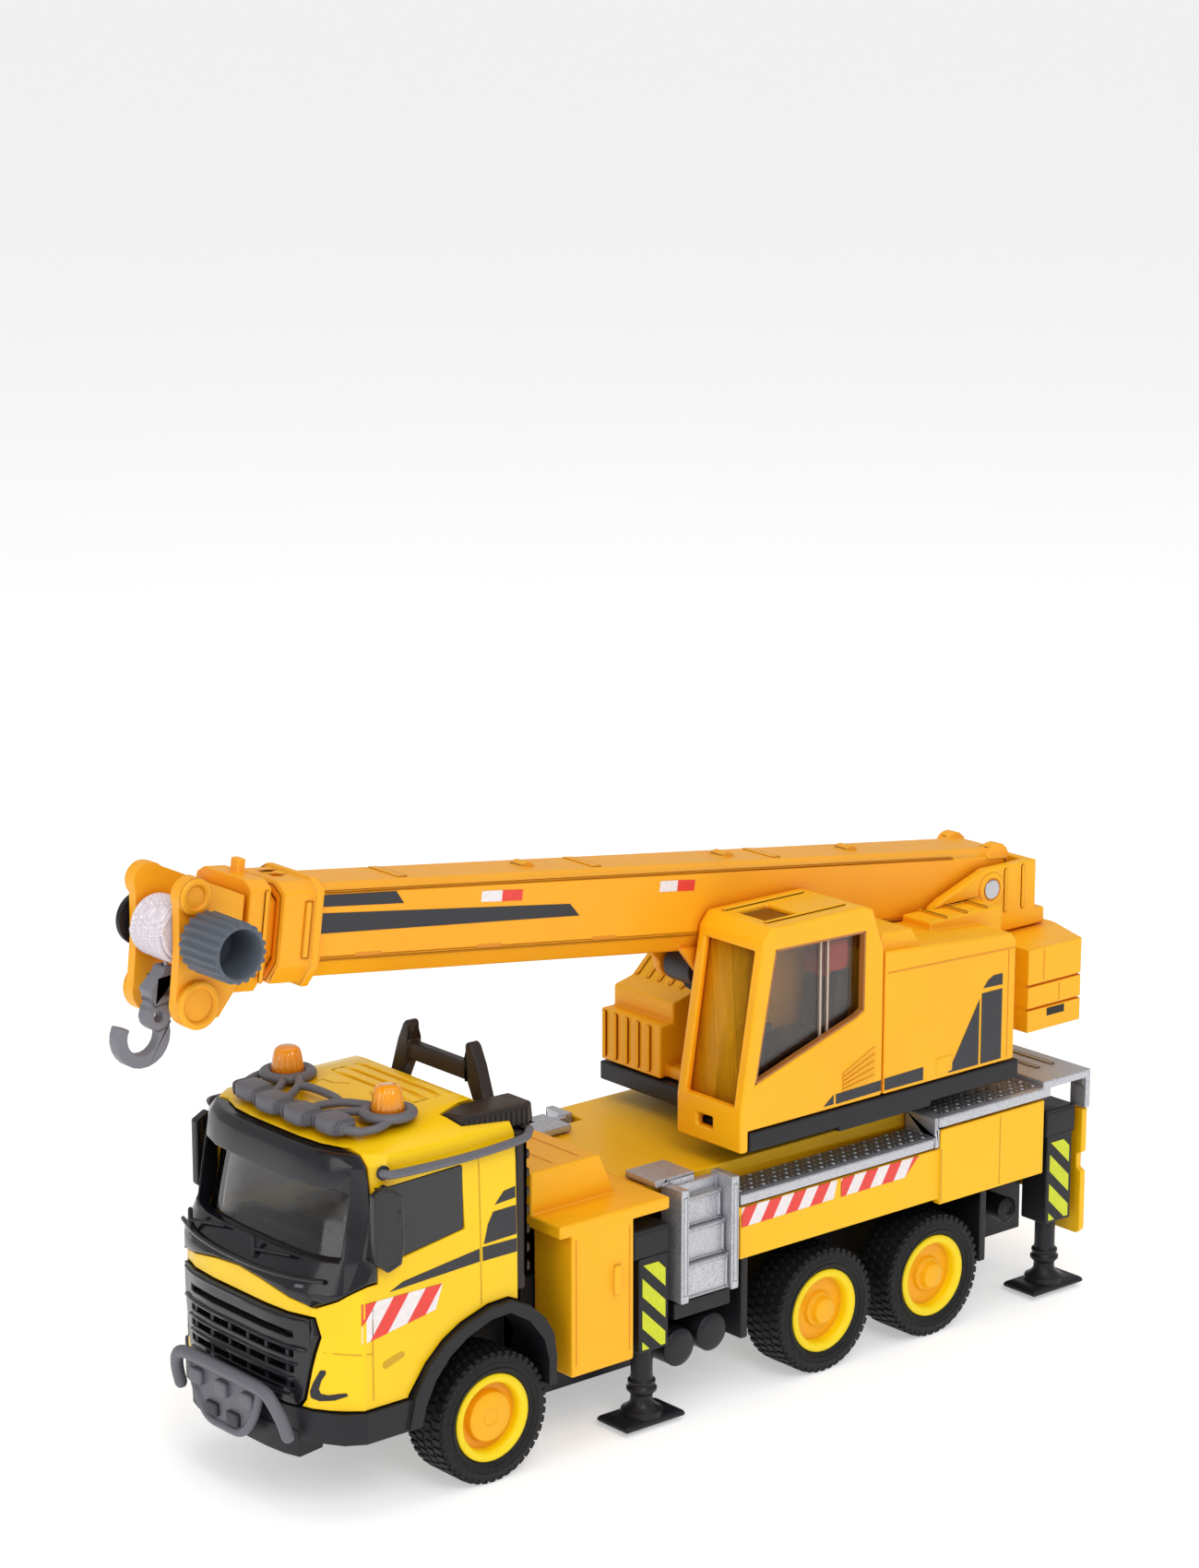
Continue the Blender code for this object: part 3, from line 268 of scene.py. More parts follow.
def clear_plastic(name, color, roughness=0.04, ior=1.46, alpha=1.0):
    """Moulded clear plastic with faint flow marks."""
    tree = Tree(name)
    flow = tree.noise(9, 2, (1, 0.4, 1))
    tint = tree.blend(tree.spread(flow, 0, 1), tone(color, 0.94), tone(color, 1.04))
    tree.feed(tree.shader.inputs["Base Color"], tint)
    tree.shader.inputs["Transmission Weight"].default_value = 1.0
    tree.shader.inputs["IOR"].default_value = ior
    tree.shader.inputs["Alpha"].default_value = alpha
    tree.feed(tree.shader.inputs["Roughness"], tree.spread(tree.noise(4, 3), roughness, roughness + 0.05))
    tree.feed(tree.shader.inputs["Normal"], tree.bump(flow, 0.05))
    return tree.material


def spun_thread():
    """Tightly wound white thread: fine slanted fibres."""
    tree = Tree("spun_thread")
    wave = tree.add("ShaderNodeTexWave", bands_direction="DIAGONAL")
    tree.links.new(tree.place, wave.inputs["Vector"])
    wave.inputs["Scale"].default_value = 1100
    wave.inputs["Distortion"].default_value = 3.0
    fibres = wave.outputs["Fac"]
    tree.feed(tree.shader.inputs["Base Color"], tree.blend(fibres, (0.62, 0.55, 0.60, 1),
            (0.86, 0.80, 0.86, 1)))
    tree.shader.inputs["Roughness"].default_value = 0.85
    tree.shader.inputs["Sheen Weight"].default_value = 0.3
    tree.feed(tree.shader.inputs["Normal"], tree.bump(fibres, 0.08))
    return tree.material


def printed(name, color, roughness=0.36):
    """Ink printed on plastic: thin, slightly uneven."""
    tree = Tree(name)
    tree.feed(tree.shader.inputs["Base Color"],
              tree.blend(tree.spread(tree.noise(0.8, 4), 0, 1), tone(color, 0.93), tone(color, 1.05)))
    tree.feed(tree.shader.inputs["Roughness"], tree.spread(tree.noise(2, 3), roughness - 0.04,
            roughness + 0.06))
    tree.feed(tree.shader.inputs["Normal"], tree.bump(tree.noise(0.4, 3), 0.004))
    return tree.material


# The corner colours given to moulded() are painted shade in corners, not the plastic's own colour.
CORNER_SHADE_ORANGE = (0.82, 0.24, 0.002)
LEMON = moulded("lemon_paint", (0.93, 0.60, 0.001), 0.30, corner=(0.74, 0.37, 0.0), coat=0.15, round_by=0.3,
        gleam=0.3)
DECK = moulded("deck_plastic", (0.93, 0.52, 0.002), 0.38, corner=(0.74, 0.29, 0.0), round_by=0.25)
YELLOW = moulded("orange_yellow_plastic", (0.95, 0.46, 0.004), 0.40, corner=CORNER_SHADE_ORANGE, soft=0.10,
        round_by=0.3)
BOOM = moulded("boom_plastic", (0.96, 0.41, 0.010), 0.40, corner=CORNER_SHADE_ORANGE, soft=0.12, round_by=0.3)
BLACK = moulded("black_plastic", (0.012, 0.012, 0.015), 0.38, mottle=0.15, round_by=0.25, gleam=0.3)
GLOSS_BLACK = moulded("gloss_black", (0.007, 0.007, 0.010), 0.18, mottle=0.12, grain=0.003, coat=0.3,
        round_by=0.35)
BROWN_BLACK = moulded("brown_black_plastic", (0.026, 0.019, 0.017), 0.38, mottle=0.12, round_by=0.3,
        gleam=0.3)
GREY = moulded("grey_plastic", (0.125, 0.125, 0.145), 0.42, mottle=0.08, round_by=0.3)
HOOK_GREY = moulded("hook_grey_plastic", (0.19, 0.19, 0.215), 0.42, mottle=0.08, round_by=0.25)
KNOB_GREY = moulded("knob_grey_plastic", (0.095, 0.11, 0.135), 0.42, mottle=0.08, round_by=0.2)
DARK_GREY = moulded("dark_grey_plastic", (0.028, 0.029, 0.036), 0.40, mottle=0.10, round_by=0.3)
TAN = moulded("tan_trim", (0.16, 0.115, 0.085), 0.5, mottle=0.12)
RED = moulded("red_plastic", (0.50, 0.035, 0.02), 0.4, mottle=0.08)
RIM_LEMON = moulded("rim_lemon", (0.93, 0.69, 0.002), 0.34, round_by=0.2)
RIM_ORANGE = moulded("rim_orange", (0.95, 0.46, 0.004), 0.40, corner=(0.84, 0.33, 0.0), soft=0.1,
        round_by=0.3)
SILVER = silver_paint()
TREAD = dark_tread()
STEEL = turned_steel()
RUBBER = tyre_rubber()
GLASS = clear_plastic("smoky_clear_plastic", (0.74, 0.72, 0.70))
CAB_GLASS = clear_plastic("clear_plastic", (0.93, 0.88, 0.82))
ROOF_GLASS = clear_plastic("brown_clear_plastic", (0.62, 0.33, 0.12), 0.12)
SIDE_GLASS = moulded("dark_side_glazing", (0.020, 0.021, 0.023), 0.12, mottle=0.10, grain=0.002, coat=0.25)
AMBER_EDGE = printed("amber_edge", (0.42, 0.15, 0.03), 0.15)
PALE_EDGE = printed("pale_mullion", (0.55, 0.42, 0.33), 0.2)
BEACON = moulded("amber_lens", (0.93, 0.35, 0.004), 0.12, mottle=0.10, corner=(0.5, 0.09, 0.0), soft=0.25,
        coat=0.6)
THREAD = spun_thread()
INK_BLACK = printed("black_print", (0.016, 0.017, 0.022))
INK_RED = printed("red_print", (0.80, 0.045, 0.030))
INK_WHITE = printed("white_print", (0.84, 0.78, 0.79))
INK_LIME = printed("lime_print", (0.62, 0.68, 0.004))
# Painted shadow standing in for the shade in recesses and slots.
SHADOW = printed("painted_recess_shadow", (0.012, 0.010, 0.008), 0.6)
# Painted shade in seams, grooves and slots: darker lines of the surface's own hue.
LEMON_SEAM_SHADE = printed("lemon_seam_shade", (0.62, 0.36, 0.001), 0.5)
ORANGE_SEAM_SHADE = printed("orange_seam_shade", (0.78, 0.27, 0.003), 0.5)


# Shapes, as in any small modelling kit. Each gives a closed bmesh in millimetres.


def finished(shape):
    bmesh.ops.recalc_face_normals(shape, faces=shape.faces)
    if shape.calc_volume(signed=True) < 0:
        bmesh.ops.reverse_faces(shape, faces=shape.faces)
    return shape


def at_axis(axis, along, first, second):
    point = [first, second]
    point.insert("xyz".index(axis), along)
    return point


def prism(outline, low, high, axis="y"):
    shape = bmesh.new()
    rings = [[shape.verts.new(at_axis(axis, t, *p)) for p in outline] for t in (low, high)]
    shape.faces.new(rings[0])
    shape.faces.new(rings[1][::-1])
    for i in range(len(outline)):
        j = (i + 1) % len(outline)
        shape.faces.new((rings[0][i], rings[1][i], rings[1][j], rings[0][j]))
    return finished(shape)


def block(x, y, z):
    x, y, z = sorted(x), sorted(y), sorted(z)
    return prism([(x[0], z[0]), (x[1], z[0]), (x[1], z[1]), (x[0], z[1])], *y)


def loft(sections, closed=False):
    shape = bmesh.new()
    rings = [[shape.verts.new(p) for p in section] for section in sections]
    pairs = list(zip(rings, rings[1:] + rings[:1])) if closed else list(zip(rings, rings[1:]))
    for low, high in pairs:
        for i in range(len(low)):
            j = (i + 1) % len(low)
            shape.faces.new((low[i], low[j], high[j], high[i]))
    if not closed:
        shape.faces.new(rings[0][::-1])
        shape.faces.new(rings[-1])
    return finished(shape)


def turned(profile, centre, axis="y", segments=64, ring=False):
    """A profile of (radius, place along the axis), turned about the axis."""
    shape = bmesh.new()
    columns = []
    for radius, along in profile:
        if radius == 0:
            columns.append([shape.verts.new(at_axis(axis, along, *centre))] * segments)
            continue
        turn = [2 * math.pi * i / segments for i in range(segments)]
        points = [(centre[0] + radius * math.cos(a), centre[1] + radius * math.sin(a)) for a in turn]
        columns.append([shape.verts.new(at_axis(axis, along, *p)) for p in points])
    pairs = list(zip(columns, columns[1:] + columns[:1])) if ring else list(zip(columns, columns[1:]))
    for one, other in pairs:
        for i in range(segments):
            j = (i + 1) % segments
            corners = []
            for corner in (one[i], one[j], other[j], other[i]):
                if corner not in corners:
                    corners.append(corner)
            if len(corners) > 2:
                shape.faces.new(corners)
    return finished(shape)


def disc(centre, radius, low, high, axis="y", segments=48):
    return turned([(0, low), (radius, low), (radius, high), (0, high)], centre, axis, segments)


def smooth_path(points, steps=6):
    """A curve through the points (Catmull-Rom)."""
    points = [Vector(p) for p in points]
    ends = [2 * points[0] - points[1], *points, 2 * points[-1] - points[-2]]
    path = []
    for a, b, c, d in zip(ends, ends[1:], ends[2:], ends[3:]):
        for i in range(steps):
            t = i / steps
            path.append(0.5 * (2 * b + (c - a) * t + (2 * a - 5 * b + 4 * c - d) * t * t
                    + (3 * b - a - 3 * c + d) * t**3))
    return path + [points[-1]]


def tube(path, radius, sides=14, rounded=True):
    """A round bar along a path, with domed ends."""
    path = [Vector(p) for p in path]
    sizes = [radius] * len(path)
    if rounded:
        first, last = (path[0] - path[1]).normalized(), (path[-1] - path[-2]).normalized()
        path = [path[0] + first * radius * 0.9, path[0] + first * radius * 0.6] + path
        path += [path[-1] + last * radius * 0.6, path[-1] + last * radius * 0.9]
        sizes = [radius * 0.35, radius * 0.8, *sizes, radius * 0.8, radius * 0.35]
    rings = []
    side = None
    for i, point in enumerate(path):
        ahead = (path[min(i + 1, len(path) - 1)] - path[max(i - 1, 0)]).normalized()
        side = ahead.orthogonal().normalized() if side is None else side
        side = (side - ahead * side.dot(ahead)).normalized()
        up = ahead.cross(side)
        turn = [2 * math.pi * k / sides for k in range(sides)]
        rings.append([point + sizes[i] * (math.cos(a) * side + math.sin(a) * up) for a in turn])
    return loft(rings)


def torus(centre, radius, thick, axis="z", height=None, segments=48, sides=14):
    height = thick if height is None else height
    around = [2 * math.pi * k / sides for k in range(sides)]
    along = centre["xyz".index(axis)]
    flat = [c for i, c in enumerate(centre) if i != "xyz".index(axis)]
    profile = [(radius + thick * math.cos(a), along + height * math.sin(a)) for a in around]
    return turned(profile, flat, axis, segments, ring=True)


def pillow(centre, size, power=4.0, steps=12, rings=8):
    """A box with soft, full corners (a superellipsoid)."""
    def bend(value):
        return math.copysign(abs(value) ** (2 / power), value)

    shape = bmesh.new()
    centre, size = Vector(centre), Vector(size) / 2
    grid = []
    for i in range(1, rings):
        v = -math.pi / 2 + math.pi * i / rings
        row = []
        for k in range(steps * 2):
            u = math.pi * k / steps
            point = Vector((bend(math.cos(v)) * bend(math.cos(u)), bend(math.cos(v)) * bend(math.sin(u)),
                    bend(math.sin(v))))
            row.append(shape.verts.new(centre + point * size))
        grid.append(row)
    south, north = shape.verts.new(centre - Vector((0, 0, size.z))), shape.verts.new(centre + Vector((0, 0,
            size.z)))
    count = steps * 2
    for k in range(count):
        j = (k + 1) % count
        shape.faces.new((south, grid[0][j], grid[0][k]))
        shape.faces.new((north, grid[-1][k], grid[-1][j]))
        for low, high in zip(grid, grid[1:]):
            shape.faces.new((low[k], low[j], high[j], high[k]))
    return finished(shape)


def moved(shape, matrix):
    shape.transform(matrix)
    return shape


def mirrored(shape):
    twin = shape.copy()
    bmesh.ops.scale(twin, vec=(1, -1, 1), verts=twin.verts)
    return finished(twin)


def sided(shape, sign):
    return shape if sign > 0 else mirrored(shape)


# Pieces


def weigh_edges(shape, width):
    """Marks the sharp edges that are long enough to round."""
    layer = shape.edges.layers.float.new("bevel_weight_edge")
    for edge in shape.edges:
        if len(edge.link_faces) == 2 and edge.calc_face_angle(0) > SHARP:
            if edge.calc_length() > 1.3 * width:
                edge[layer] = 1.0
            else:
                edge.smooth = False
    return shape


def joined(shapes, to_metres):
    """One bmesh and its list of looks from (bmesh, look, round edges by) parts."""
    total, looks = bmesh.new(), []
    for shape, look, width in shapes:
        if look not in looks:
            looks.append(look)
        if width:
            weigh_edges(shape, width)
        else:
            shape.edges.layers.float.new("bevel_weight_edge")
            for edge in shape.edges:
                if len(edge.link_faces) == 2 and edge.calc_face_angle(0) > math.radians(40):
                    edge.smooth = False
        for face in shape.faces:
            face.material_index = looks.index(look)
            face.smooth = True
        shape.transform(to_metres)
        part = bpy.data.meshes.new("part")
        shape.to_mesh(part)
        shape.free()
        total.from_mesh(part)
        bpy.data.meshes.remove(part)
    return total, looks


def piece(name, body, shapes, rounding=0.0, stands_for=(), drawn="frame", cad_shape=None, slot=None):
    """One visible piece. shapes are (bmesh, look), or (bmesh, look, False) where edges stay crisp."""
    to_metres = Matrix.Scale(MM, 4)
    if drawn == "boom":
        to_metres = BOOM_FRAME @ to_metres
    full = [(s[0], s[1], rounding if len(s) < 3 else 0.0) for s in shapes]
    total, looks = joined(full, to_metres)
    if cad_shape is not None:
        shape, look = cad_shape
        cad, _ = joined([(shape, look, rounding)], Matrix.Scale(MM, 4))
        part = bpy.data.meshes.new("part")
        if look not in looks:
            looks.append(look)
        for face in cad.faces:
            face.material_index = looks.index(look)
        cad.to_mesh(part)
        total.from_mesh(part)
        bpy.data.meshes.remove(part)
    mesh = bpy.data.meshes.new(name)
    total.to_mesh(mesh)
    total.free()
    for look in looks:
        mesh.materials.append(look)
    made = bpy.data.objects.new(name, mesh)
    bpy.context.scene.collection.objects.link(made)
    if rounding:
        bevel = made.modifiers.new("Rounded edges", "BEVEL")
        bevel.width = rounding * MM
        bevel.segments = 2
        bevel.limit_method = "WEIGHT"
        bevel.use_clamp_overlap = False
        normals = made.modifiers.new("Flat faces stay flat", "WEIGHTED_NORMAL")
        normals.keep_sharp = True
    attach(made, body)
    if stands_for:
        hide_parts(*stands_for)
        slot = slot or SLOT_OF[stands_for[0]]
    return made


def cad_bmesh(node):
    """The CAD node's shape in millimetres, with its flat faces joined up again."""
    shape = bmesh.new()
    shape.from_mesh(NODES[node].data)
    for layer in list(shape.loops.layers.uv):
        shape.loops.layers.uv.remove(layer)
    bmesh.ops.remove_doubles(shape, verts=shape.verts, dist=2e-6)
    bmesh.ops.dissolve_limit(shape, angle_limit=math.radians(0.8), verts=shape.verts, edges=shape.edges)
    shape.transform(Matrix.Scale(1 / MM, 4))
    return shape


def refined(node, look, details=(), rounding=0.25, drawn="frame"):
    """The CAD node's own shape with rounded edges, plus its surface details."""
    return piece(node + "_shown", BODY_OF[node], details, rounding, (node,), drawn, (cad_bmesh(node), look))


# Printed marks


def clipped(subject, window):
    """The part of one outline inside a convex one (both in the plane)."""
    area = sum(a[0] * b[1] - b[0] * a[1] for a, b in zip(window, window[1:] + window[:1]))
    window = window if area > 0 else window[::-1]
    for a, b in zip(window, window[1:] + window[:1]):
        result = []
        for p, q in zip(subject, subject[1:] + subject[:1]):
            inside_p = (b[0] - a[0]) * (p[1] - a[1]) - (b[1] - a[1]) * (p[0] - a[0])
            inside_q = (b[0] - a[0]) * (q[1] - a[1]) - (b[1] - a[1]) * (q[0] - a[0])
            if inside_p >= 0:
                result.append(p)
            if inside_p * inside_q < 0:
                t = inside_p / (inside_p - inside_q)
                result.append((p[0] + (q[0] - p[0]) * t, p[1] + (q[1] - p[1]) * t))
        subject = result
        if len(subject) < 3:
            return []
    return subject


def print_on(node, outline, look, axis="y", sign=1, proud=DECAL, cell=1.2):
    """A thin mark that follows the node's surface. The outline is in the plane across axis."""
    flat = bmesh.new()
    flat.faces.new([flat.verts.new(at_axis(axis, 0, *p)) for p in outline])
    for direction in "xyz".replace(axis, ""):
        place = "xyz".index(direction)
        low, high = min(v.co[place] for v in flat.verts), max(v.co[place] for v in flat.verts)
        for k in range(1, max(1, math.ceil((high - low) / cell))):
            middle, normal = Vector(), Vector()
            middle[place] = low + (high - low) * k / math.ceil((high - low) / cell)
            normal[place] = 1
            bmesh.ops.bisect_plane(flat, geom=flat.verts[:] + flat.edges[:] + flat.faces[:],
                    plane_co=middle, plane_no=normal)
    tree = SURFACES.setdefault(node, BVHTree.FromBMesh(cad_bmesh(node)))
    ray = Vector()
    ray["xyz".index(axis)] = -sign
    for face in flat.faces:
        face.normal_update()
        if face.normal.dot(ray) > 0:
            face.normal_flip()
    for vert in flat.verts:
        start = vert.co - ray * 150
        hit = tree.ray_cast(start, ray)[0]
        vert.co = (hit if hit is not None else vert.co) - ray * proud
    bmesh.ops.solidify(flat, geom=flat.faces[:], thickness=proud * 1.6)
    return finished(flat), look, False


SURFACES = {}


def print_all(node, marks, axis="y", sign=1):
    """Marks in order; red ones are printed on the white ones, so they stand a little prouder."""
    return [print_on(node, outline, look, axis, sign, DECAL * (1.7 if look is INK_RED else 1)) for outline,
            look in marks]


def side_marks(node, marks):
    """The same marks on the left and the right side."""
    return print_all(node, marks, "y", 1) + print_all(node, marks, "y", -1)


def line(a, b, width=0.28):
    """A thin outline along a straight line in the plane."""
    a, b = Vector(a), Vector(b)
    side = Vector((-(b - a).y, (b - a).x)).normalized() * width / 2
    return [tuple(a + side), tuple(b + side), tuple(b - side), tuple(a - side)]


# Truck cab


def cab_shell():
    hazard = [(57.7, 39.3), (74.6, 39.6), (74.7, 32.5), (59.2, 35.0)]
    marks = [(hazard, INK_WHITE)]
    for top_front, top_rear in ((78.6, 71.4), (67.7, 64.5), (60.8, 57.4)):
        stripe = [(top_front, 40.0), (top_rear, 40.0), (top_rear + 6.4, 31.5), (top_front + 6.4, 31.5)]
        marks.append((clipped(stripe, hazard), INK_RED))
    marks.append(([(66.1, 41.7), (49.6, 43.6), (49.6, 41.3), (68.9, 40.5)], INK_BLACK))
    marks.append(([(48.9, 43.7), (41.4, 43.6), (41.4, 41.2), (48.9, 41.2)], INK_BLACK))
    marks.append(([(48.6, 44.2), (41.4, 44.4), (41.4, 49.6), (46.4, 49.5), (47.6, 47.6)], INK_BLACK))
    marks.append(([(46.0, 50.7), (41.5, 51.0), (41.5, 53.0), (44.0, 52.7)], INK_BLACK))
    # Seam lines in painted shade, where grooves are.
    seams = [((49.3, 33.4), (49.3, 60.6)), ((72.6, 22.0), (72.6, 38.6)), ((72.6, 30.4), (81.5, 31.0))]
    marks += [(line(a, b, 0.2), LEMON_SEAM_SHADE) for a, b in seams]
    details = side_marks("cab_shell", marks)
    lamp = [(20.4, 27.7), (19.7, 27.6), (18.6, 25.2), (18.0, 23.5), (18.2, 22.5), (19.6, 22.1),
            (21.8, 22.5), (23.3, 23.3), (23.2, 23.8), (22.4, 23.7), (20.8, 23.3), (19.7, 23.4),
            (19.4, 24.2), (19.8, 25.8), (20.5, 27.1)]
    for sign in (1, -1):
        details.append(print_on("cab_shell", [(sign * y, z) for y, z in lamp], GLOSS_BLACK, "x", 1, 0.14,
                0.7))
        # Painted shade in the recessed step outline.
        step = [(66.6, 29.3), (70.4, 28.3), (70.6, 27.5), (70.0, 27.0), (66.2, 28.2), (65.9, 28.8)]
        details.append(print_on("cab_shell", step, LEMON_SEAM_SHADE, "y", sign))
        # Painted shade along the panel edges on top.
        for a, b in (((57.5, 6), (57.5, 9)), ((64.5, 7.5), (57.5, 9)), ((64.5, 7.5), (66.5, 4)),
                     ((57.5, 6), (56.0, 3))):
            edge = [(x, sign * y) for x, y in line(a, b, 0.25)]
            details.append(print_on("cab_shell", edge, LEMON_SEAM_SHADE, "z", 1))
    refined("cab_shell", LEMON, details, 0.15)


def cab_windows():
    """Windscreen and side glazing, which is darker."""
    refined("cab_glazing", GLASS, [], 0.0)
    for side, sign in SIDES:
        pane = [(70.4, 58.9), (53.2, 59.3), (52.8, 58.9), (52.7, 48.1), (53.2, 47.6), (65.4, 46.1),
                (70.4, 45.8)]
        y = sign * 24.35
        piece(f"side_window_{side}", "truck", [(prism(pane, y - 0.25, y + 0.25), SIDE_GLASS)], 0.12,
              slot="clear_plastic")


def front_mask():
    details = []
    wiper_edge = smooth_path([(79.7, 20.4, 43.6), (81.7, 14, 43.2), (82.6, 7, 42.9), (82.75, 0, 42.8),
            (82.6, -7, 42.9), (81.7, -14, 43.2), (79.7, -20.4, 43.6)], 5)
    details.append((tube(wiper_edge, 0.45, 10), GLOSS_BLACK, False))
    for y in (-14.5, 4.5):
        arm = [(80.9, y + 8.5, 46.6), (81.1, y + 4, 45.9), (81.5, y - 1.0, 45.2)]
        details.append((tube(smooth_path(arm, 4), 0.33, 8), BLACK, False))
        details.append((tube([(81.5, y - 1.0, 44.0), (81.3, y - 1.2, 46.9)], 0.45, 8), BLACK, False))
    for sign in (1, -1):
        rim = [(70.8, 59.2), (67.9, 57.2), (67.4, 50.1), (68.2, 46.2), (70.4, 45.4)]
        path = smooth_path([(x, sign * 26.6, z) for x, z in rim], 4)
        details.append((tube(path, 0.45, 8), GLOSS_BLACK, False))
        details.append((pillow((68.0, sign * 26.4, 54.0), (1.6, 1.4, 3.0)), GLOSS_BLACK, False))
        details.append((pillow((68.2, sign * 26.4, 47.8), (1.4, 1.2, 2.2)), GLOSS_BLACK, False))
        badge = [(sign * 15.2, 41.7), (sign * 16.8, 41.8), (sign * 16.8, 42.3), (sign * 15.2, 42.2)]
        details.append(print_on("front_mask", badge, GREY, "x", 1))
    refined("front_mask", GLOSS_BLACK, details, 0.35)


def cab_interior():
    wheel = torus((66.4, 10.5, 46.4), 3.4, 0.42, "z", 0.42, 40, 10)
    matrix = Matrix.Translation((66.4, 10.5, 46.4)) @ Matrix.Rotation(math.radians(38), 4,
            "Y") @ Matrix.Translation((-66.4, -10.5, -46.4))
    details = [(moved(wheel, matrix), DARK_GREY, False)]
    details += [(pillow((48.6, y, 51.0), (4.4, 11.5, 13.5)), TAN, False) for y in (-11, 11)]
    details += [(pillow((54.0, y, 42.6), (11.0, 11.5, 3.4)), TAN, False) for y in (-11, 11)]
    details += [(pillow((69.2, 0, 44.6), (5.0, 34, 2.4)), DARK_GREY, False)]
    refined("cab_interior", DARK_GREY, details, 0.3)


def grille():
    details = []
    for z, half, radius in ((35.9, 17.8, 0.3), (30.9, 17.4, 0.42), (28.0, 15.6, 0.3), (25.4, 15.0, 0.3),
                            (22.2, 14.6, 0.42)):
        path = [(82.9 - 8.0 * abs(y / 25) ** 4.5, y, z) for y in np.linspace(-half, half, 15)]
        details.append((tube(path, radius, 8), GLOSS_BLACK, False))
    for y in (-13.5, -8.0, -2.7, 2.7, 8.0, 13.5):
        x = 82.0 - 8.0 * abs(y / 25) ** 4.5
        details.append((block((x - 0.6, x + 0.6), (y - 0.4, y + 0.4), (22.2, 30.8)), BLACK, False))
    refined("grille", GLOSS_BLACK, details, 0.25)


def bumper():
    refined("bumper", BLACK, [], 0.15)


def bull_bar():
    main = smooth_path([(84.0, 16.0, 15.6), (84.9, 15.6, 18.6), (85.8, 14.2, 21.6), (86.0, 12.0, 23.0),
            (86.2, 6, 23.4), (86.3, 0, 23.5), (86.2, -6, 23.4), (86.0, -12.0, 23.0), (85.8, -14.2, 21.6),
            (84.9, -15.6, 18.6), (84.0, -16.0, 15.6)], 5)
    lower = smooth_path([(85.6, 10.6, 22.6), (85.7, 8.4, 17.0), (85.8, 5.0, 13.4), (85.8, 0, 12.9),
            (85.8, -5.0, 13.4), (85.7, -8.4, 17.0), (85.6, -10.6, 22.6)], 5)
    shapes = [(tube(main, 1.15, 14), GREY, False), (tube(lower, 0.8, 12), GREY, False)]
    shapes.append((prism([(10.6, 22.4), (8.2, 16.6), (4.6, 13.4), (-4.6, 13.4), (-8.2, 16.6),
            (-10.6, 22.4)], 84.9, 85.9, "x"), GREY))
    for y in (-3.1, 3.1):
        shapes.append((pillow((86.2, y, 15.4), (1.0, 3.6, 2.4), 6), DARK_GREY, False))
    for y in (-7.4, 0.0, 7.4):
        shapes.append((pillow((86.3, y, 20.0), (1.3, 3.4, 2.8), 5), GREY, False))
    piece("bull_bar_shown", "truck", shapes, 0.3, ("bull_bar",))


def light_bar():
    shapes = []
    for y in (-11.7, -4.1, 4.1, 11.7):
        x = 71.5 - 0.009 * y * y
        shapes.append((pillow((x, y, 67.3), (5.0, 5.6, 3.2), 5), GREY, False))
        for end in (-1, 1):
            for i in range(3):
                ridge = pillow((x, y + end * (3.0 + 0.42 * i), 67.3), (4.5 - 0.5 * i, 0.34, 2.9 - 0.4 * i), 4)
                shapes.append((ridge, GREY, False))
    bar = smooth_path([(68.6, 17.0, 66.6), (70.4, 15.0, 67.0), (71.2, 8, 67.1), (71.4, 0, 67.1),
            (71.2, -8, 67.1), (70.4, -15.0, 67.0), (68.6, -17.0, 66.6)], 5)
    shapes.append((tube(bar, 0.85, 12), GREY, False))
    for sign in (1, -1):
        low, high = box_mm("beacon_left")
        x = (low.x + high.x) / 2
        y = sign * (low.y + high.y) / 2
        shapes.append((torus((x, y, 67.9), 4.0, 1.15, "z", 0.9), GREY, False))
        shapes.append((turned([(0, 67.2), (3.6, 67.2), (3.6, 67.9), (0, 67.9)], (x, y), "z"), DARK_GREY,
                       False))
        outer = [(68.6, 17.0, 66.6), (66.0, 18.2, 67.0), (63.2, 18.0, 67.6)]
        inner = [(70.6, 8.4, 67.1), (67.2, 8.6, 67.6), (64.0, 11.6, 68.0)]
        cross = [(70.6, 3.2, 67.1), (67.8, 4.0, 67.8), (64.6, 6.2, 68.3), (62.2, 9.6, 68.3),
                 (61.6, 10.8, 68.2)]
        for path in (outer, inner, cross):
            shapes.append((tube(smooth_path([(a, sign * b, c) for a, b, c in path], 5), 0.75, 12), GREY,
                           False))
    brace = smooth_path([(64.6, 6.2, 68.3), (64.0, 3, 68.5), (64.0, -3, 68.5), (64.6, -6.2, 68.3)], 5)
    shapes.append((tube(brace, 0.75, 12), GREY, False))
    piece("light_bar_shown", "truck", shapes, 0.0, ("light_bar",))


def beacon(side):
    low, high = box_mm(f"beacon_{side}")
    centre = ((low.x + high.x) / 2, (low.y + high.y) / 2)
    z = low.z
    profile = [(0, z), (2.95, z), (3.0, z + 0.9), (2.75, z + 2.6), (2.55, z + 3.9), (2.2, z + 4.9),
               (1.6, z + 5.3), (0, z + 5.4)]
    shell = turned(profile, centre, "z", 60)
    for vert in shell.verts:
        flat = Vector((vert.co.x - centre[0], vert.co.y - centre[1]))
        angle = math.atan2(flat.y, flat.x)
        share = 1 - 0.035 * (1 + math.cos(15 * angle)) if flat.length > 1.8 else 1
        vert.co.x, vert.co.y = centre[0] + flat.x * share, centre[1] + flat.y * share
    piece(f"beacon_{side}_shown", "truck", [(shell, BEACON, False)], 0.0, (f"beacon_{side}",))


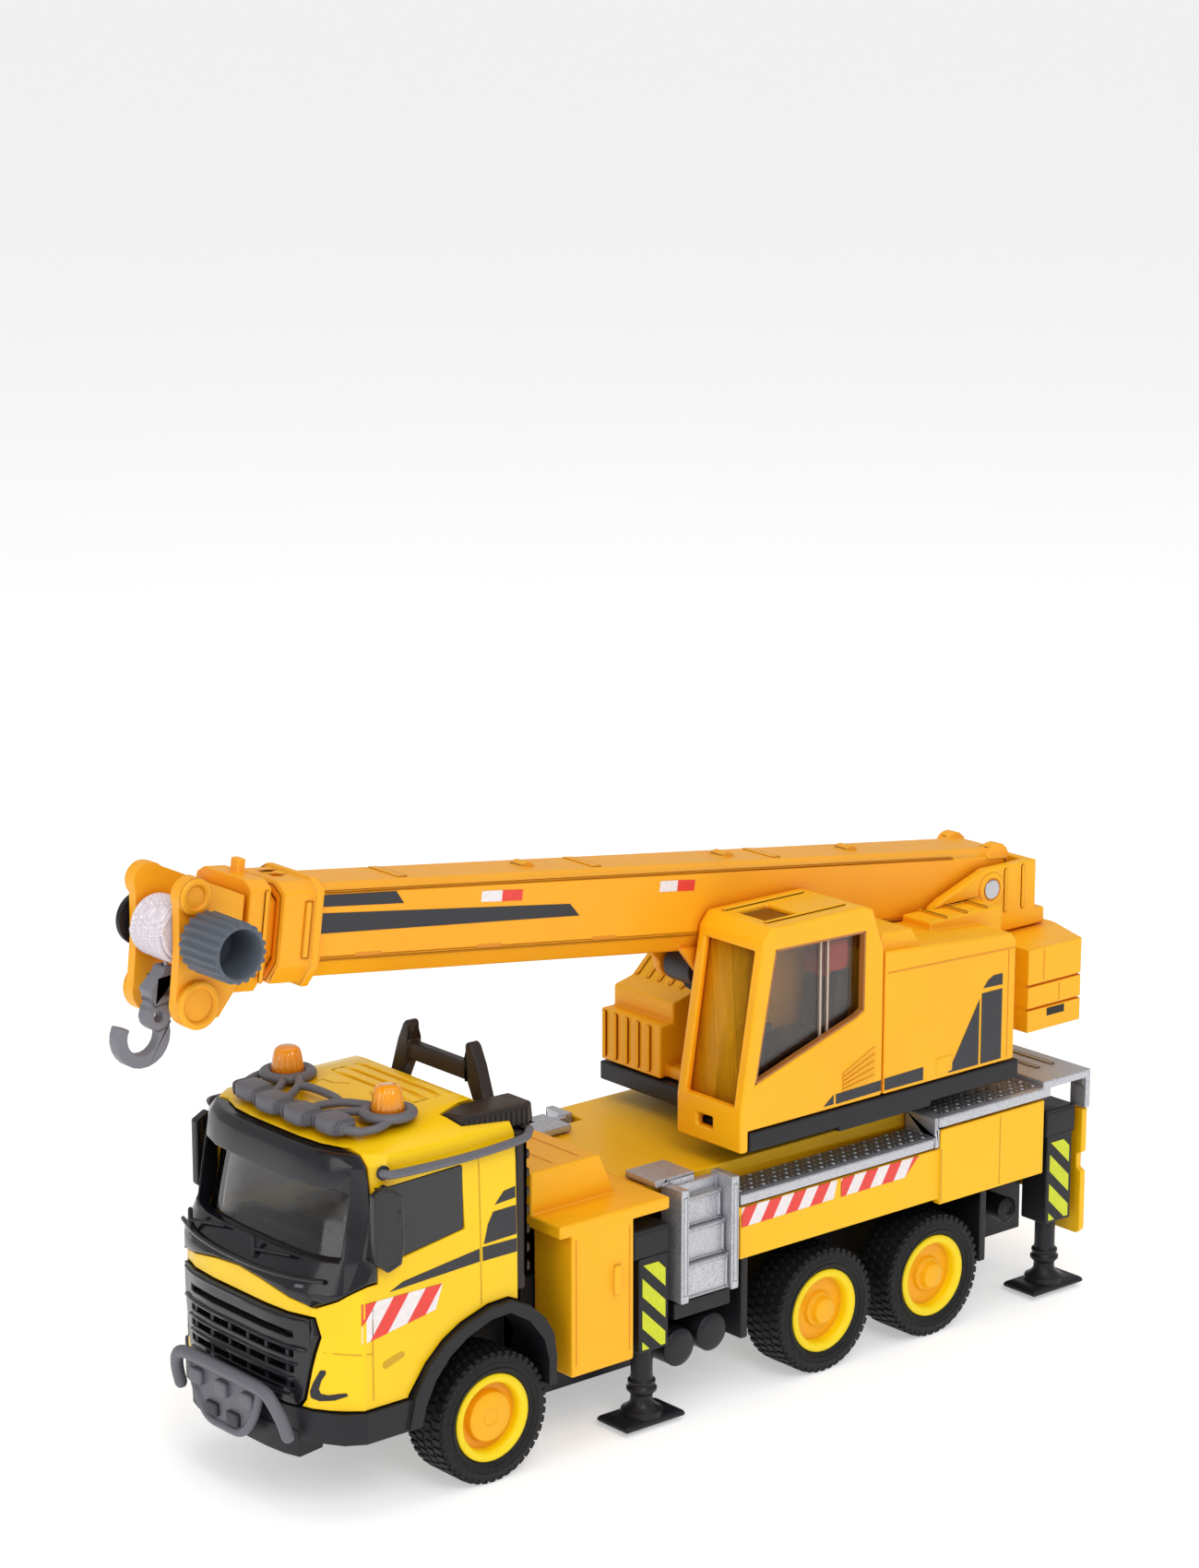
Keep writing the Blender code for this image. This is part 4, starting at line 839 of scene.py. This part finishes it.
def roof_rail(side, sign):
    path = smooth_path([(70.0, 25.0, 61.7), (68.6, 26.2, 61.6), (60, 26.4, 61.35), (52.0, 26.4, 61.3),
            (44, 26.3, 61.6), (40.2, 26.0, 61.9), (38.4, 24.9, 62.6)], 5)
    shapes = [(tube([(x, sign * y, z) for x, y, z in path], 0.78, 12), GREY, False)]
    shapes.append((disc((69.6, 61.65), 1.25, sign * 24.3, sign * 24.75), DARK_GREY, False))
    piece(f"roof_rail_{side}_shown", "truck", shapes, 0.0, (f"roof_rail_{side}",))


def back_panel():
    details = []
    for i in range(13):
        x = 50.0 - 1.05 * i
        slat = [(x - 0.3, 63.2), (x + 0.3, 63.2), (x + 0.1, 65.9), (x - 0.5, 65.9)]
        details.append(print_on("back_panel", slat, BROWN_BLACK, "y", 1, 0.28, 3.0))
    refined("back_panel", BROWN_BLACK, details, 0.5)


# Chassis, deck and what stands on it


def chassis():
    details = []
    for sign in (1, -1):
        for centre in ((3.2, 13.4), (-4.6, 14.4)):
            rim = [(3.3, 23.6), (3.55, 24.1), (3.1, 24.5), (2.2, 24.7), (0, 24.75), (0, 23.2), (3.3, 23.2)]
            details.append((sided(turned(rim, centre), sign), BLACK, False))
        cap = [(0, 19.6), (2.5, 19.6), (2.5, 20.1), (1.9, 20.6), (0.9, 20.7), (0.8, 20.3), (0, 20.3)]
        details.append((sided(turned(cap, (-85.5, 18.0)), sign), BLACK, False))
    refined("chassis", BLACK, details, 0.3)


def deck():
    marks = []
    first = [(-10.1, 37.4), (-33.9, 37.4), (-33.0, 33.9), (-10.1, 33.7)]
    second = [(-34.9, 37.4), (-54.9, 37.4), (-51.3, 33.9), (-34.9, 33.9)]
    for panel in (first, second):
        marks.append((panel, INK_WHITE))
        for i in range(9):
            x = -8.2 - 6.1 * i
            stripe = [(x - 3.0, 37.9), (x - 6.0, 37.9), (x - 3.2, 33.4), (x - 0.2, 33.4)]
            cut = clipped(stripe, panel)
            if cut:
                marks.append((cut, INK_RED))
    # Seam lines in painted shade.
    marks.append((line((-60.6, 27.0), (-60.6, 37.6), 0.2), LEMON_SEAM_SHADE))
    marks.append((line((-76.4, 27.2), (-76.4, 40.8), 0.18), LEMON_SEAM_SHADE))
    details = side_marks("deck", marks)
    refined("deck", DECK, details, 0.3)


def tread_mark(x, y, z, turn, length=1.15, width=0.42, height=0.22):
    """One raised, pointed mark of a tread plate."""
    outline = [(-length / 2, 0), (0, width / 2), (length / 2, 0), (0, -width / 2)]
    top = [(-length / 5, 0), (0, width / 5), (length / 5, 0), (0, -width / 5)]
    cos, sin = math.cos(turn), math.sin(turn)
    rings = [[(x + a * cos - b * sin, y + a * sin + b * cos, h) for a, b in ring]
             for ring, h in ((outline, z), (top, z + height))]
    return loft(rings)


def tread(x, y, z, pitch=1.45):
    """A dark tread field with rows of raised marks."""
    shapes = [(block(x, y, (z, z + 0.12)), TREAD, False)]
    columns, rows = int((x[1] - x[0] - 0.8) / pitch), int((y[1] - y[0] - 0.6) / pitch)
    for i in range(columns + 1):
        for j in range(rows + 1):
            px = x[0] + 0.5 + (x[1] - x[0] - 1.0) * i / columns
            py = y[0] + 0.5 + (y[1] - y[0] - 1.0) * j / rows
            turn = math.radians(45 if (i + j) % 2 else -45)
            shapes.append((tread_mark(px, py, z + 0.1, turn), SILVER, False))
    return shapes


def walkway():
    details = tread((-59.2, -10.2), (18.9, 25.2), 40.0)
    details += tread((-87.2, -61.4), (17.8, 25.4), 44.0)
    for x in (-97.5, -93.5):
        details.append((block((x - 0.5, x + 0.5), (-20, 20), (45.2, 45.5)), SILVER))
    refined("walkway", SILVER, details, 0.3)


def ladder(side, sign):
    details = []
    for y, bottom, top in ((25.4, 23.3, 28.8), (24.4, 29.8, 35.1), (23.4, 36.1, 40.6)):
        x0, x1 = -6.9, 2.5
        for edge in (block((x0, x1), (y - 0.2, y + 0.35), (top - 0.1, top + 0.5)),
                     block((x0, x1), (y - 0.2, y + 0.3), (bottom - 0.5, bottom))):
            details.append((sided(edge, sign), SILVER))
        for x in (x0, x1):
            details.append((sided(block((x - 0.3, x + 0.3), (y - 0.2, y + 0.3), (bottom, top)), sign),
                    SILVER))
    for x in (-8.2, 3.8):
        inset = block((x - 0.45, x + 0.45), (26.3, 26.62), (24.0, 42.6))
        details.append((sided(inset, sign), SILVER))
    refined(f"ladder_{side}", SILVER, details, 0.25)


def rear_panel():
    # Seam lines in painted shade.
    marks = [(line((-20, 24.0), (20, 24.0), 0.3), LEMON_SEAM_SHADE),
             (line((-20, 32.0), (20, 32.0), 0.3), LEMON_SEAM_SHADE)]
    details = [print_on("rear_panel", outline, look, "x", -1) for outline, look in marks]
    for sign in (1, -1):
        for y in (12.5, 16.5, 20.5):
            centre = (sign * y, 20.6)
            details.append((turned([(0, -101.5), (1.5, -101.5), (1.5, -102.0), (1.1, -102.3), (0, -102.35)],
                    centre, "x", 32), INK_RED if y > 14 else INK_WHITE, False))
    refined("rear_panel", DECK, details, 0.3)


def toolbox():
    details = []
    for sign in (1, -1):
        # Frame lines on the sides in painted shade.
        frame_marks = [line((16.6, 17.0), (16.6, 40.4), 0.2), line((28.9, 17.0), (28.9, 40.4), 0.2)]
        details += [print_on("toolbox", mark, ORANGE_SEAM_SHADE, "y", sign) for mark in frame_marks]
        grip = pillow((19.7, sign * 26.25, 31.0), (1.7, 0.9, 5.6), 5)
        details.append((grip, YELLOW, False))
    # Lines on top in painted shade.
    for x in (20.0, 26.0):
        details.append(print_on("toolbox", line((x, -16), (x, 16), 0.3), ORANGE_SEAM_SHADE, "z", 1))
    refined("toolbox", YELLOW, details, 0.45)


# Running gear


def tyre_shape():
    """One tyre about its own middle: body, shoulder blocks, tread blocks and sidewall rings."""
    low, high = box_mm("tyre_1_left")
    radius, width = (high.z - low.z) / 2, high.y - low.y
    half = width / 2
    bead = 8.05
    body_radius = radius - 0.38
    profile = [(bead, -half + 0.7), (bead + 0.9, -half + 0.1), (bead + 2.0, -half),
            (body_radius - 0.6, -half + 0.22), (body_radius - 0.15, -half + 0.6),
            (body_radius, -half + 1.1), (body_radius + 0.1, 0), (body_radius, half - 1.1),
            (body_radius - 0.15, half - 0.6), (body_radius - 0.6, half - 0.22), (bead + 2.0, half),
            (bead + 0.9, half - 0.1), (bead, half - 0.7)]
    shapes = [turned(profile, (0, 0), "y", 72, ring=True)]
    shapes += [torus((0, y, 0), r, 0.16, "y", 0.16, 64, 6) for y in (half - 0.02,
            -half + 0.02) for r in (bead + 1.0, radius - 2.0)]
    count = 44
    rows = ((half - 1.5, 1.9, 0.0), (half - 3.75, 1.7, 0.5), (-half + 3.75, 1.7, 0.0),
            (-half + 1.5, 1.9, 0.5))
    for y, wide, shift in rows:
        for i in range(count):
            angle = 2 * math.pi * (i + shift) / count
            lug = block((body_radius - 0.4, radius - 0.03), (y - wide / 2, y + wide / 2), (-0.56, 0.56))
            for vert in lug.verts:
                if vert.co.x > body_radius:
                    vert.co.z *= 0.84
            shapes.append(moved(lug, Matrix.Rotation(angle, 4, "Y")))
    for sign in (1, -1):
        for i in range(count):
            angle = 2 * math.pi * (i + 0.25) / count
            lug = block((radius - 1.3, radius - 0.5), (sign * (half - 0.8), sign * (half - 0.16)),
                        (-0.4, 0.4))
            shapes.append(moved(lug, Matrix.Rotation(angle, 4, "Y")))
    return shapes


def rim_shape(front):
    """One wheel rim about the tyre's middle: bright ring outside, dish and hub in orange."""
    low, high = box_mm("tyre_1_left")
    half = (high.y - low.y) / 2
    outer = half - 0.35
    ring = [(7.95, -half + 0.8), (7.95, outer - 0.2), (7.7, outer), (6.9, outer), (6.45, outer - 0.25),
            (6.15, outer - 1.0),
            (6.1, outer - 2.4), (6.1, -half + 0.8)]
    shapes = [(turned(ring, (0, 0), "y", 72, ring=True), RIM_LEMON, False)]
    dish = outer - 2.2
    if front:
        hub = [(0, dish - 1), (6.2, dish - 1), (6.2, dish), (4.75, dish + 0.05), (4.6, dish + 0.3),
               (4.45, dish + 1.35),
               (4.1, dish + 1.6), (1.6, dish + 1.62), (1.5, dish + 1.5), (0, dish + 1.5)]
    else:
        hub = [(0, dish - 1), (6.2, dish - 1), (6.2, dish), (3.5, dish + 0.05), (3.3, dish + 0.3),
               (3.2, dish + 0.8),
               (2.7, dish + 0.95), (2.5, dish + 1.2), (2.35, dish + 2.3), (2.0, dish + 2.55), (0, dish + 2.6)]
    shapes.append((turned(hub, (0, 0), "y", 64), RIM_ORANGE, False))
    return shapes


def wheels():
    tyre = piece("tyre_pattern", "truck", [(shape, RUBBER, False) for shape in tyre_shape()])
    rims = {front: piece(f"rim_pattern_{int(front)}", "truck", rim_shape(front)) for front in (True, False)}
    for axle in (1, 2, 3):
        for side, sign in SIDES:
            for kind, pattern in (("tyre", tyre), ("rim", rims[axle == 1])):
                low, high = box_mm(f"tyre_{axle}_{side}")
                copy = bpy.data.objects.new(f"{kind}_{axle}_{side}_shown", pattern.data)
                bpy.context.scene.collection.objects.link(copy)
                turn = Matrix.Rotation(0 if sign > 0 else math.pi, 4, "Z")
                copy.matrix_world = Matrix.Translation((low + high) / 2 * MM) @ turn
                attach(copy, f"axle_{axle}")
                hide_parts(f"{kind}_{axle}_{side}")
    for pattern in (tyre, *rims.values()):
        bpy.data.objects.remove(pattern)
    for axle in (1, 2, 3):
        refined(f"axle_shaft_{axle}", STEEL, [], 0.1)


# Outriggers


def outrigger(end, side, sign):
    node = f"outrigger_beam_{end}_{side}"
    low, high = box_mm(f"jack_{end}_{side}")
    middle = (low.x + high.x) / 2
    left, right = middle - 2.7, middle + 2.7
    panel = [(left, 15.6), (right, 15.6), (right, 31.6), (left, 31.6)]
    marks = []
    for i in range(4):
        z = 8.6 + 6.0 * i
        stripe = [(right, z + 5.2), (right, z + 8.6), (left, z + 3.4), (left, z)]
        cut = clipped(stripe, panel)
        if cut:
            marks.append((cut, INK_LIME))
    details = print_all(node, marks, "y", sign)
    x0, x1 = box_mm(node)[0].x, box_mm(node)[1].x
    details.append((sided(block((x0 + 0.2, x1 - 0.2), (25.1, 25.5), (33.6, 37.8)), sign), BLACK))
    refined(node, BLACK, details, 0.3)


def jack(end, side, sign):
    node = f"jack_{end}_{side}"
    low, high = box_mm(node)
    x, y = (low.x + high.x) / 2, sign * 21.9
    profile = [(0, 1.8), (3.9, 1.8), (3.8, 3.0), (2.9, 3.5), (2.1, 4.4), (2.0, 5.8), (2.35, 6.2),
            (2.75, 6.6), (2.8, 7.1), (2.4, 7.5), (2.3, 7.8), (2.55, 8.1), (2.55, 8.5), (2.1, 8.9),
            (2.0, 9.6), (2.0, 29.4), (0, 29.4)]
    shapes = [(turned(profile, (x, y), "z", 40), BLACK, False)]
    middle = sign * 21.8
    plate = loft([[(x + sx * (7.0 - b), middle + sy * (4.25 - b), z) for sx,
                   sy in ((-1, -1), (1, -1), (1, 1), (-1, 1))]
                  for z, b in ((0.9, 0.0), (1.8, 0.0), (2.4, 1.4))])
    shapes.append((plate, BLACK))
    piece(node + "_shown", BODY_OF[node], shapes, 0.35, (node,))


# Upper works


def crane_base():
    refined("crane_base", BLACK, [], 0.35)
    refined("slew_pivot", STEEL, [], 0.12)


def crane_body():
    cover = [(([(-71.5, 65.9), (-77.0, 65.9), (-77.0, 52.0), (-71.5, 52.0)]), INK_BLACK),
             ([(-70.9, 64.9), (-70.9, 52.0), (-62.9, 52.0)], INK_BLACK),
             ([(-71.9, 66.9), (-77.0, 66.7), (-77.0, 68.9), (-74.6, 68.9), (-73.2, 68.3)], INK_BLACK),
             ([(-46.2, 54.3), (-56.2, 54.5), (-56.2, 52.0), (-46.2, 52.0)], INK_BLACK)]
    # Seam lines in painted shade.
    seams = [line((-46.6, 74.6), (-80.2, 73.4), 0.22), line((-78.6, 52.0), (-78.6, 73.2), 0.18)]
    marks = cover + [(seam, ORANGE_SEAM_SHADE) for seam in seams]
    details = print_all("crane_body", marks, "y", 1)
    right = cover[:3] + [([(-24.0, 54.3), (-56.2, 54.5), (-56.2, 52.0), (-22.8, 52.0)], INK_BLACK)]
    details += print_all("crane_body", right + [(seam, ORANGE_SEAM_SHADE) for seam in seams], "y", -1)
    for i in range(5):
        vent = line((-28.0, 57.5 + 1.7 * i), (-40.0, 57.5 + 1.7 * i), 0.6)
        details.append(print_on("crane_body", vent, YELLOW, "y", -1, 0.25))
    for y in (-11.4, -14.6, -17.8, -21.0, -24.2):
        details.append((block((-20.4, -19.7), (y - 0.5, y + 0.5), (52.0, 61.3)), YELLOW))
        details.append((prism([(-28.2, 66.4), (-37.8, 75.6), (-37.4, 76.1), (-27.9, 67.0)], y - 0.5,
                y + 0.5), YELLOW))
    details.append((block((-64.0, -59.5), (24.9, 25.7), (52.2, 55.6)), YELLOW))
    for sign in (1, -1):
        for x in (-92.6, -97.4):
            details.append((sided(block((x - 0.45, x + 0.45), (10.5, 11.2), (75.0, 83.9)), sign), YELLOW))
    for sign in (1, -1):
        boss = [(0, 10.7), (3.3, 10.7), (3.3, 11.0), (2.9, 11.15), (2.3, 11.15), (2.2, 10.9), (0, 10.9)]
        pivot = BOOM_PIVOT / MM
        details.append((sided(turned(boss, (pivot.x, pivot.z)), sign), YELLOW, False))
    for x in (-70.5, -76.0, -81.5):
        details.append((block((x - 0.35, x + 0.35), (9.6, 16.6), (78.9, 79.25)), YELLOW))
    refined("crane_body", YELLOW, details, 0.45)


def counterweight():
    # Painted shadow: the dark slot marks stand in for the shade in the slots, and the seam lines are painted
    # shade in grooves.
    slot = [(-92.7, 58.2), (-97.5, 58.2), (-97.5, 56.7), (-92.7, 56.7)]
    marks = [(slot, SHADOW), (line((-96.0, 59.4), (-96.0, 62.8), 0.16), ORANGE_SEAM_SHADE),
             (line((-91.6, 64.2), (-91.6, 70.2), 0.16), ORANGE_SEAM_SHADE)]
    details = side_marks("counterweight", marks)
    # Painted shadow for the two rear slots.
    for y in (-14.0, 14.0):
        details.append(print_on("counterweight", [(y - 2.2, 57.9), (y + 2.2, 57.9), (y + 2.2, 56.7),
                (y - 2.2, 56.7)], SHADOW, "x", -1))
    refined("counterweight", YELLOW, details, 0.0)


def operator_cab():
    high = box_mm("operator_cab")[1]
    marks = [([(-33.7, 53.9), (-45.2, 54.2), (-45.2, 52.2), (-33.7, 52.0)], INK_BLACK),
             ([(-33.1, 53.9), (-33.1, 52.1), (-30.6, 52.1)], INK_BLACK)]
    ridges = []
    for i in range(5):
        shift = 1.35 * i
        ridges.append(line((-35.4, 57.3 - shift * 0.55), (-43.4, 60.9 - shift), 0.4))
    details = print_all("operator_cab", marks, "y", 1)
    details += [print_on("operator_cab", ridge, YELLOW, "y", 1, 0.22) for ridge in ridges]
    window = [(-18.6, 84.1), (-40.9, 83.6), (-40.8, 68.6), (-39.0, 67.6), (-13.8, 59.8)]
    for a, b in zip(window, window[1:] + window[:1]):
        details.append((prism(line(a, b, 0.55), high.y - 1.5, high.y - 0.25), AMBER_EDGE, False))
    for y in (10.9, 22.1):
        details.append((block((-38.5, -18.5), (y - 0.5, y + 0.5), (88.2, 88.9)), YELLOW))
    refined("operator_cab", YELLOW, details, 0.5)


def operator_windows():
    high = box_mm("operator_glazing")[1]
    details = []
    for x in (-31.2, -33.0):
        details.append((block((x - 0.22, x + 0.22), (high.y - 0.7, high.y + 0.1), (63.5, 83.6)), PALE_EDGE,
                False))
    details.append((block((-27.8, -20.2), (12.7, 20.8), (87.0, 87.7)), ROOF_GLASS, False))
    refined("operator_glazing", CAB_GLASS, details, 0.12)


def operator_seat():
    details = [(pillow((-33.0, 16.0, 62.4), (11.5, 9.4, 4.2), 4), DARK_GREY, False),
               (pillow((-39.6, 16.0, 70.6), (3.4, 9.4, 14.0), 4), DARK_GREY, False),
               (pillow((-37.6, 16.0, 76.4), (3.0, 6.2, 4.6), 4), RED, False),
               (pillow((-22.2, 14.0, 67.4), (4.4, 3.6, 2.6), 4), DARK_GREY, False),
               (pillow((-23.0, 17.6, 66.6), (1.9, 1.9, 2.8), 3), DARK_GREY, False),
               (pillow((-19.6, 14.6, 60.5), (3.4, 4.2, 14.0), 3), BLACK, False),
               (pillow((-36.5, 21.2, 79.2), (6.4, 2.4, 6.0), 4), RED, False)]
    refined("operator_seat", DARK_GREY, details, 0.35)


# Boom


def boom_base():
    marks = [([(143.7, 5.35), (159.2, 5.35), (159.2, 3.3), (141.8, 3.2)], INK_BLACK),
             ([(104.4, 1.3), (159.2, 2.2), (159.2, -1.3), (102.0, -0.9)], INK_BLACK),
             ([(120.2, 4.5), (124.8, 4.5), (124.8, 2.6), (120.2, 2.5)], INK_WHITE),
             ([(115.6, 4.4), (120.2, 4.5), (120.2, 2.5), (115.6, 2.5)], INK_RED),
             ([(79.2, 4.5), (83.4, 4.5), (83.4, 2.5), (79.2, 2.5)], INK_WHITE),
             ([(75.0, 4.4), (79.2, 4.5), (79.2, 2.5), (75.0, 2.4)], INK_RED)]
    details = []
    for sign in (1, -1):
        for outline, look in marks:
            details.append((prism(outline, sign * 7.45, sign * (7.5 + DECAL)), look, False))
        # Dark strips in painted shade, where slots are.
        for s in (148.5, 122.0, 95.5, 69.0):
            details.append((prism([(s - 2.8, -5.0), (s + 2.8, -5.0), (s + 2.8, -5.6), (s - 2.8, -5.6)],
                    sign * 7.4, sign * 7.56), ORANGE_SEAM_SHADE, False))
        ledge = [(8, -5.4), (158.5, -5.4), (158.5, -6.1), (8, -6.1)]
        details.append((prism(ledge, sign * 7.2, sign * 7.62), BOOM))
        rail = [(8, 5.5), (158.5, 5.5), (158.5, 6.0), (8, 6.0)]
        details.append((prism(rail, sign * 6.9, sign * 7.5), BOOM))
        flange = [(161.8, 4.6), (163.2, 4.6), (163.2, -5.2), (161.8, -5.2)]
        details.append((prism(flange, sign * 8.1, sign * 8.5), BOOM))
    for s in (110.0, 62.0, 30.0):
        details.append((turned([(0, -1.6), (1.5, -1.6), (1.5, 1.6), (0, 1.6)], (s, 6.4), "y", 32), BOOM))
    for s in (52.0, 96.0, 140.0):
        details.append((block((s - 1.0, s + 1.0), (-4.2, 4.2), (6.8, 7.25)), BOOM))
    refined("boom_base", BOOM, details, 0.4, drawn="boom")


def boom_sections():
    details = []
    for sign in (1, -1):
        details.append((prism([(170.7, 6.8), (171.6, 6.8), (171.6, -9.0), (170.7, -9.0)], sign * 7.9,
                sign * 8.4), BOOM))
    refined("boom_mid", BOOM, details, 0.35, drawn="boom")
    details = []
    for sign in (1, -1):
        for centre, radius in (((185.5, 6.3), 3.1), ((183.1, -12.0), 4.1)):
            ring = [(radius - 0.1, 7.7), (radius, 8.2), (radius - 0.35, 8.5), (radius - 0.9, 8.5),
                    (radius - 1.3, 8.1), (radius - 1.3, 7.7)]
            details.append((sided(turned(ring, centre, "y", 48, ring=True), sign), BOOM, False))
    refined("boom_tip", BOOM, details, 0.0, drawn="boom")
    refined("boom_pin", STEEL, [], 0.2)


def winch():
    axis = JOINTS["winch_spin"]["pos_m"]
    centre = (axis[0] / MM, axis[2] / MM)
    ribs, steps = 20, 8
    outer = []
    for i in range(ribs * steps):
        radius = {0: 5.0, 1: 5.22, 2: 5.25, 3: 5.22, 4: 5.0, 5: 4.78, 6: 4.74, 7: 4.78}[i % steps]
        angle = 2 * math.pi * i / (ribs * steps)
        outer.append((math.cos(angle) * radius, math.sin(angle) * radius))
    rings = []
    for y, share, inner in ((9.7, 0.93, False), (10.2, 1.0, False), (19.9, 0.985, False),
                            (20.35, 0.95, False),
                            (20.35, 4.25, True), (20.1, 4.05, True), (12.0, 3.9, True)):
        if inner:
            rings.append([(centre[0] + share * x / math.hypot(x, z), y,
                           centre[1] + share * z / math.hypot(x, z)) for x, z in outer])
        else:
            rings.append([(centre[0] + share * x, y, centre[1] + share * z) for x, z in outer])
    shaft = turned([(0, -9.0), (1.55, -9.0), (1.55, 8.2), (2.8, 8.2), (2.8, 10.0), (0, 10.0)], centre, "y",
                   40)
    cap = turned([(0, -8.2), (4.6, -8.2), (4.7, -8.5), (4.6, -9.3), (4.0, -9.8), (0, -9.8)], centre, "y", 64)
    piece("winch_knob_shown", "winch", [(loft(rings), KNOB_GREY, False), (shaft, KNOB_GREY, False),
            (cap, BLACK, False)], 0.0, ("winch_knob",))
    turns, steps = 13, 40
    path = []
    for i in range(turns * steps * 2 + 1):
        angle = 2 * math.pi * i / steps
        share = (i / (turns * steps)) % 2
        y = -4.4 + 8.8 * (share if share <= 1 else 2 - share)
        radius = 4.35 if i <= turns * steps else 4.85
        radius += 0.12 * math.sin(angle * 0.37) - 0.10 * (abs(y) / 4.4) ** 2
        path.append((centre[0] + radius * math.cos(angle), y, centre[1] + radius * math.sin(angle)))
    core = turned([(1.8, -4.6), (4.3, -4.6), (4.3, 4.6), (1.8, 4.6)], centre, "y", 40, ring=True)
    piece("thread_coil_shown", "winch", [(tube(path, 0.42, 7), THREAD, False), (core, THREAD, False)], 0.0,
          ("thread_coil",))


def hoist_thread():
    """The hanging thread: its top stays at the winch; it is joined to no body, so its foot does not follow
    the hook.
    """
    low, high = box_mm("hoist_line")
    x, y = (low.x + high.x) / 2, (low.y + high.y) / 2
    sides, steps, radius = 12, 40, 0.36
    rings = []
    for i in range(steps + 1):
        z = low.z + (high.z - low.z) * i / steps
        ring = []
        for k in range(sides):
            angle = 2 * math.pi * k / sides
            r = radius * (1 + 0.12 * math.cos(2 * angle + 2 * math.pi * i / 10))
            ring.append((x + r * math.cos(angle), y + r * math.sin(angle), z))
        rings.append(ring)
    made = piece("hoist_thread", "hoist", [(loft(rings), THREAD, False)])
    world = made.matrix_world.copy()
    made.parent = None
    made.matrix_world = world
    del made["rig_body"]
    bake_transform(made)
    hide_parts("hoist_line")


def hook():
    refined("hook", HOOK_GREY, [], 0.3)


def luffing_cylinder():
    refined("luff_barrel", DARK_GREY, [], 0.2)
    refined("luff_rod", STEEL, [], 0.12)


# Studio


def studio():
    floor = bmesh.new()
    bmesh.ops.create_circle(floor, cap_ends=True, segments=96, radius=12)
    mesh = bpy.data.meshes.new("floor")
    floor.to_mesh(mesh)
    floor.free()
    tree = Tree("floor_paper")
    tree.feed(tree.shader.inputs["Base Color"], tree.blend(tree.noise(60, 3), (0.86, 0.86, 0.86, 1),
            (0.88, 0.88, 0.88, 1)))
    tree.shader.inputs["Roughness"].default_value = 0.9
    tree.shader.inputs["Specular IOR Level"].default_value = 0.15
    tree.shader.inputs["Emission Color"].default_value = (1, 1, 1, 1)
    tree.shader.inputs["Emission Strength"].default_value = 0.42
    mesh.materials.append(tree.material)
    plane = bpy.data.objects.new("floor", mesh)
    bpy.context.scene.collection.objects.link(plane)
    world = bpy.data.worlds.new("studio")
    world.use_nodes = True
    background = world.node_tree.nodes["Background"]
    background.inputs["Color"].default_value = (1.0, 1.0, 1.0, 1)
    background.inputs["Strength"].default_value = 0.52
    bpy.context.scene.world = world
    centre = (CAD_BOX[0] + CAD_BOX[1]) / 2
    for name, place, size, power in (("key", (0.30, 0.75, 0.75), 0.5, 3.4),
                                     ("top", (-0.1, 0.0, 1.0), 0.9, 2.2),
                                     ("front", (0.95, 0.15, 0.40), 0.6, 1.8)):
        light = bpy.data.lights.new(name, "AREA")
        light.size = size
        light.energy = power
        lamp = bpy.data.objects.new(name, light)
        lamp.location = place
        lamp.rotation_mode = "QUATERNION"
        lamp.rotation_quaternion = (centre - Vector(place)).to_track_quat("-Z", "Y")
        bpy.context.scene.collection.objects.link(lamp)
    bpy.context.scene.view_settings.view_transform = "Standard"


def camera():
    azimuth, elevation = math.radians(139.82), math.radians(13.54)
    back = Vector((math.sin(azimuth) * math.cos(elevation), -math.cos(azimuth) * math.cos(elevation),
                   math.sin(elevation)))
    data = bpy.data.cameras.new("camera")
    data.lens = 89.54
    data.sensor_width = 36
    data.clip_start = 0.02
    view = bpy.data.objects.new("camera", data)
    view.location = (0.4404, 0.5196, 0.2771)
    view.rotation_mode = "QUATERNION"
    view.rotation_quaternion = (-back).to_track_quat("-Z", "Y")
    bpy.context.scene.collection.objects.link(view)
    bpy.context.scene.camera = view


def build():
    cab_shell()
    cab_windows()
    front_mask()
    cab_interior()
    grille()
    bumper()
    bull_bar()
    light_bar()
    back_panel()
    for side, sign in SIDES:
        beacon(side)
        roof_rail(side, sign)
        ladder(side, sign)
        for end in ("front", "rear"):
            outrigger(end, side, sign)
            jack(end, side, sign)
    chassis()
    deck()
    walkway()
    rear_panel()
    toolbox()
    wheels()
    crane_base()
    crane_body()
    counterweight()
    operator_cab()
    operator_windows()
    operator_seat()
    boom_base()
    boom_sections()
    winch()
    hoist_thread()
    hook()
    luffing_cylinder()
    studio()
    camera()


build()
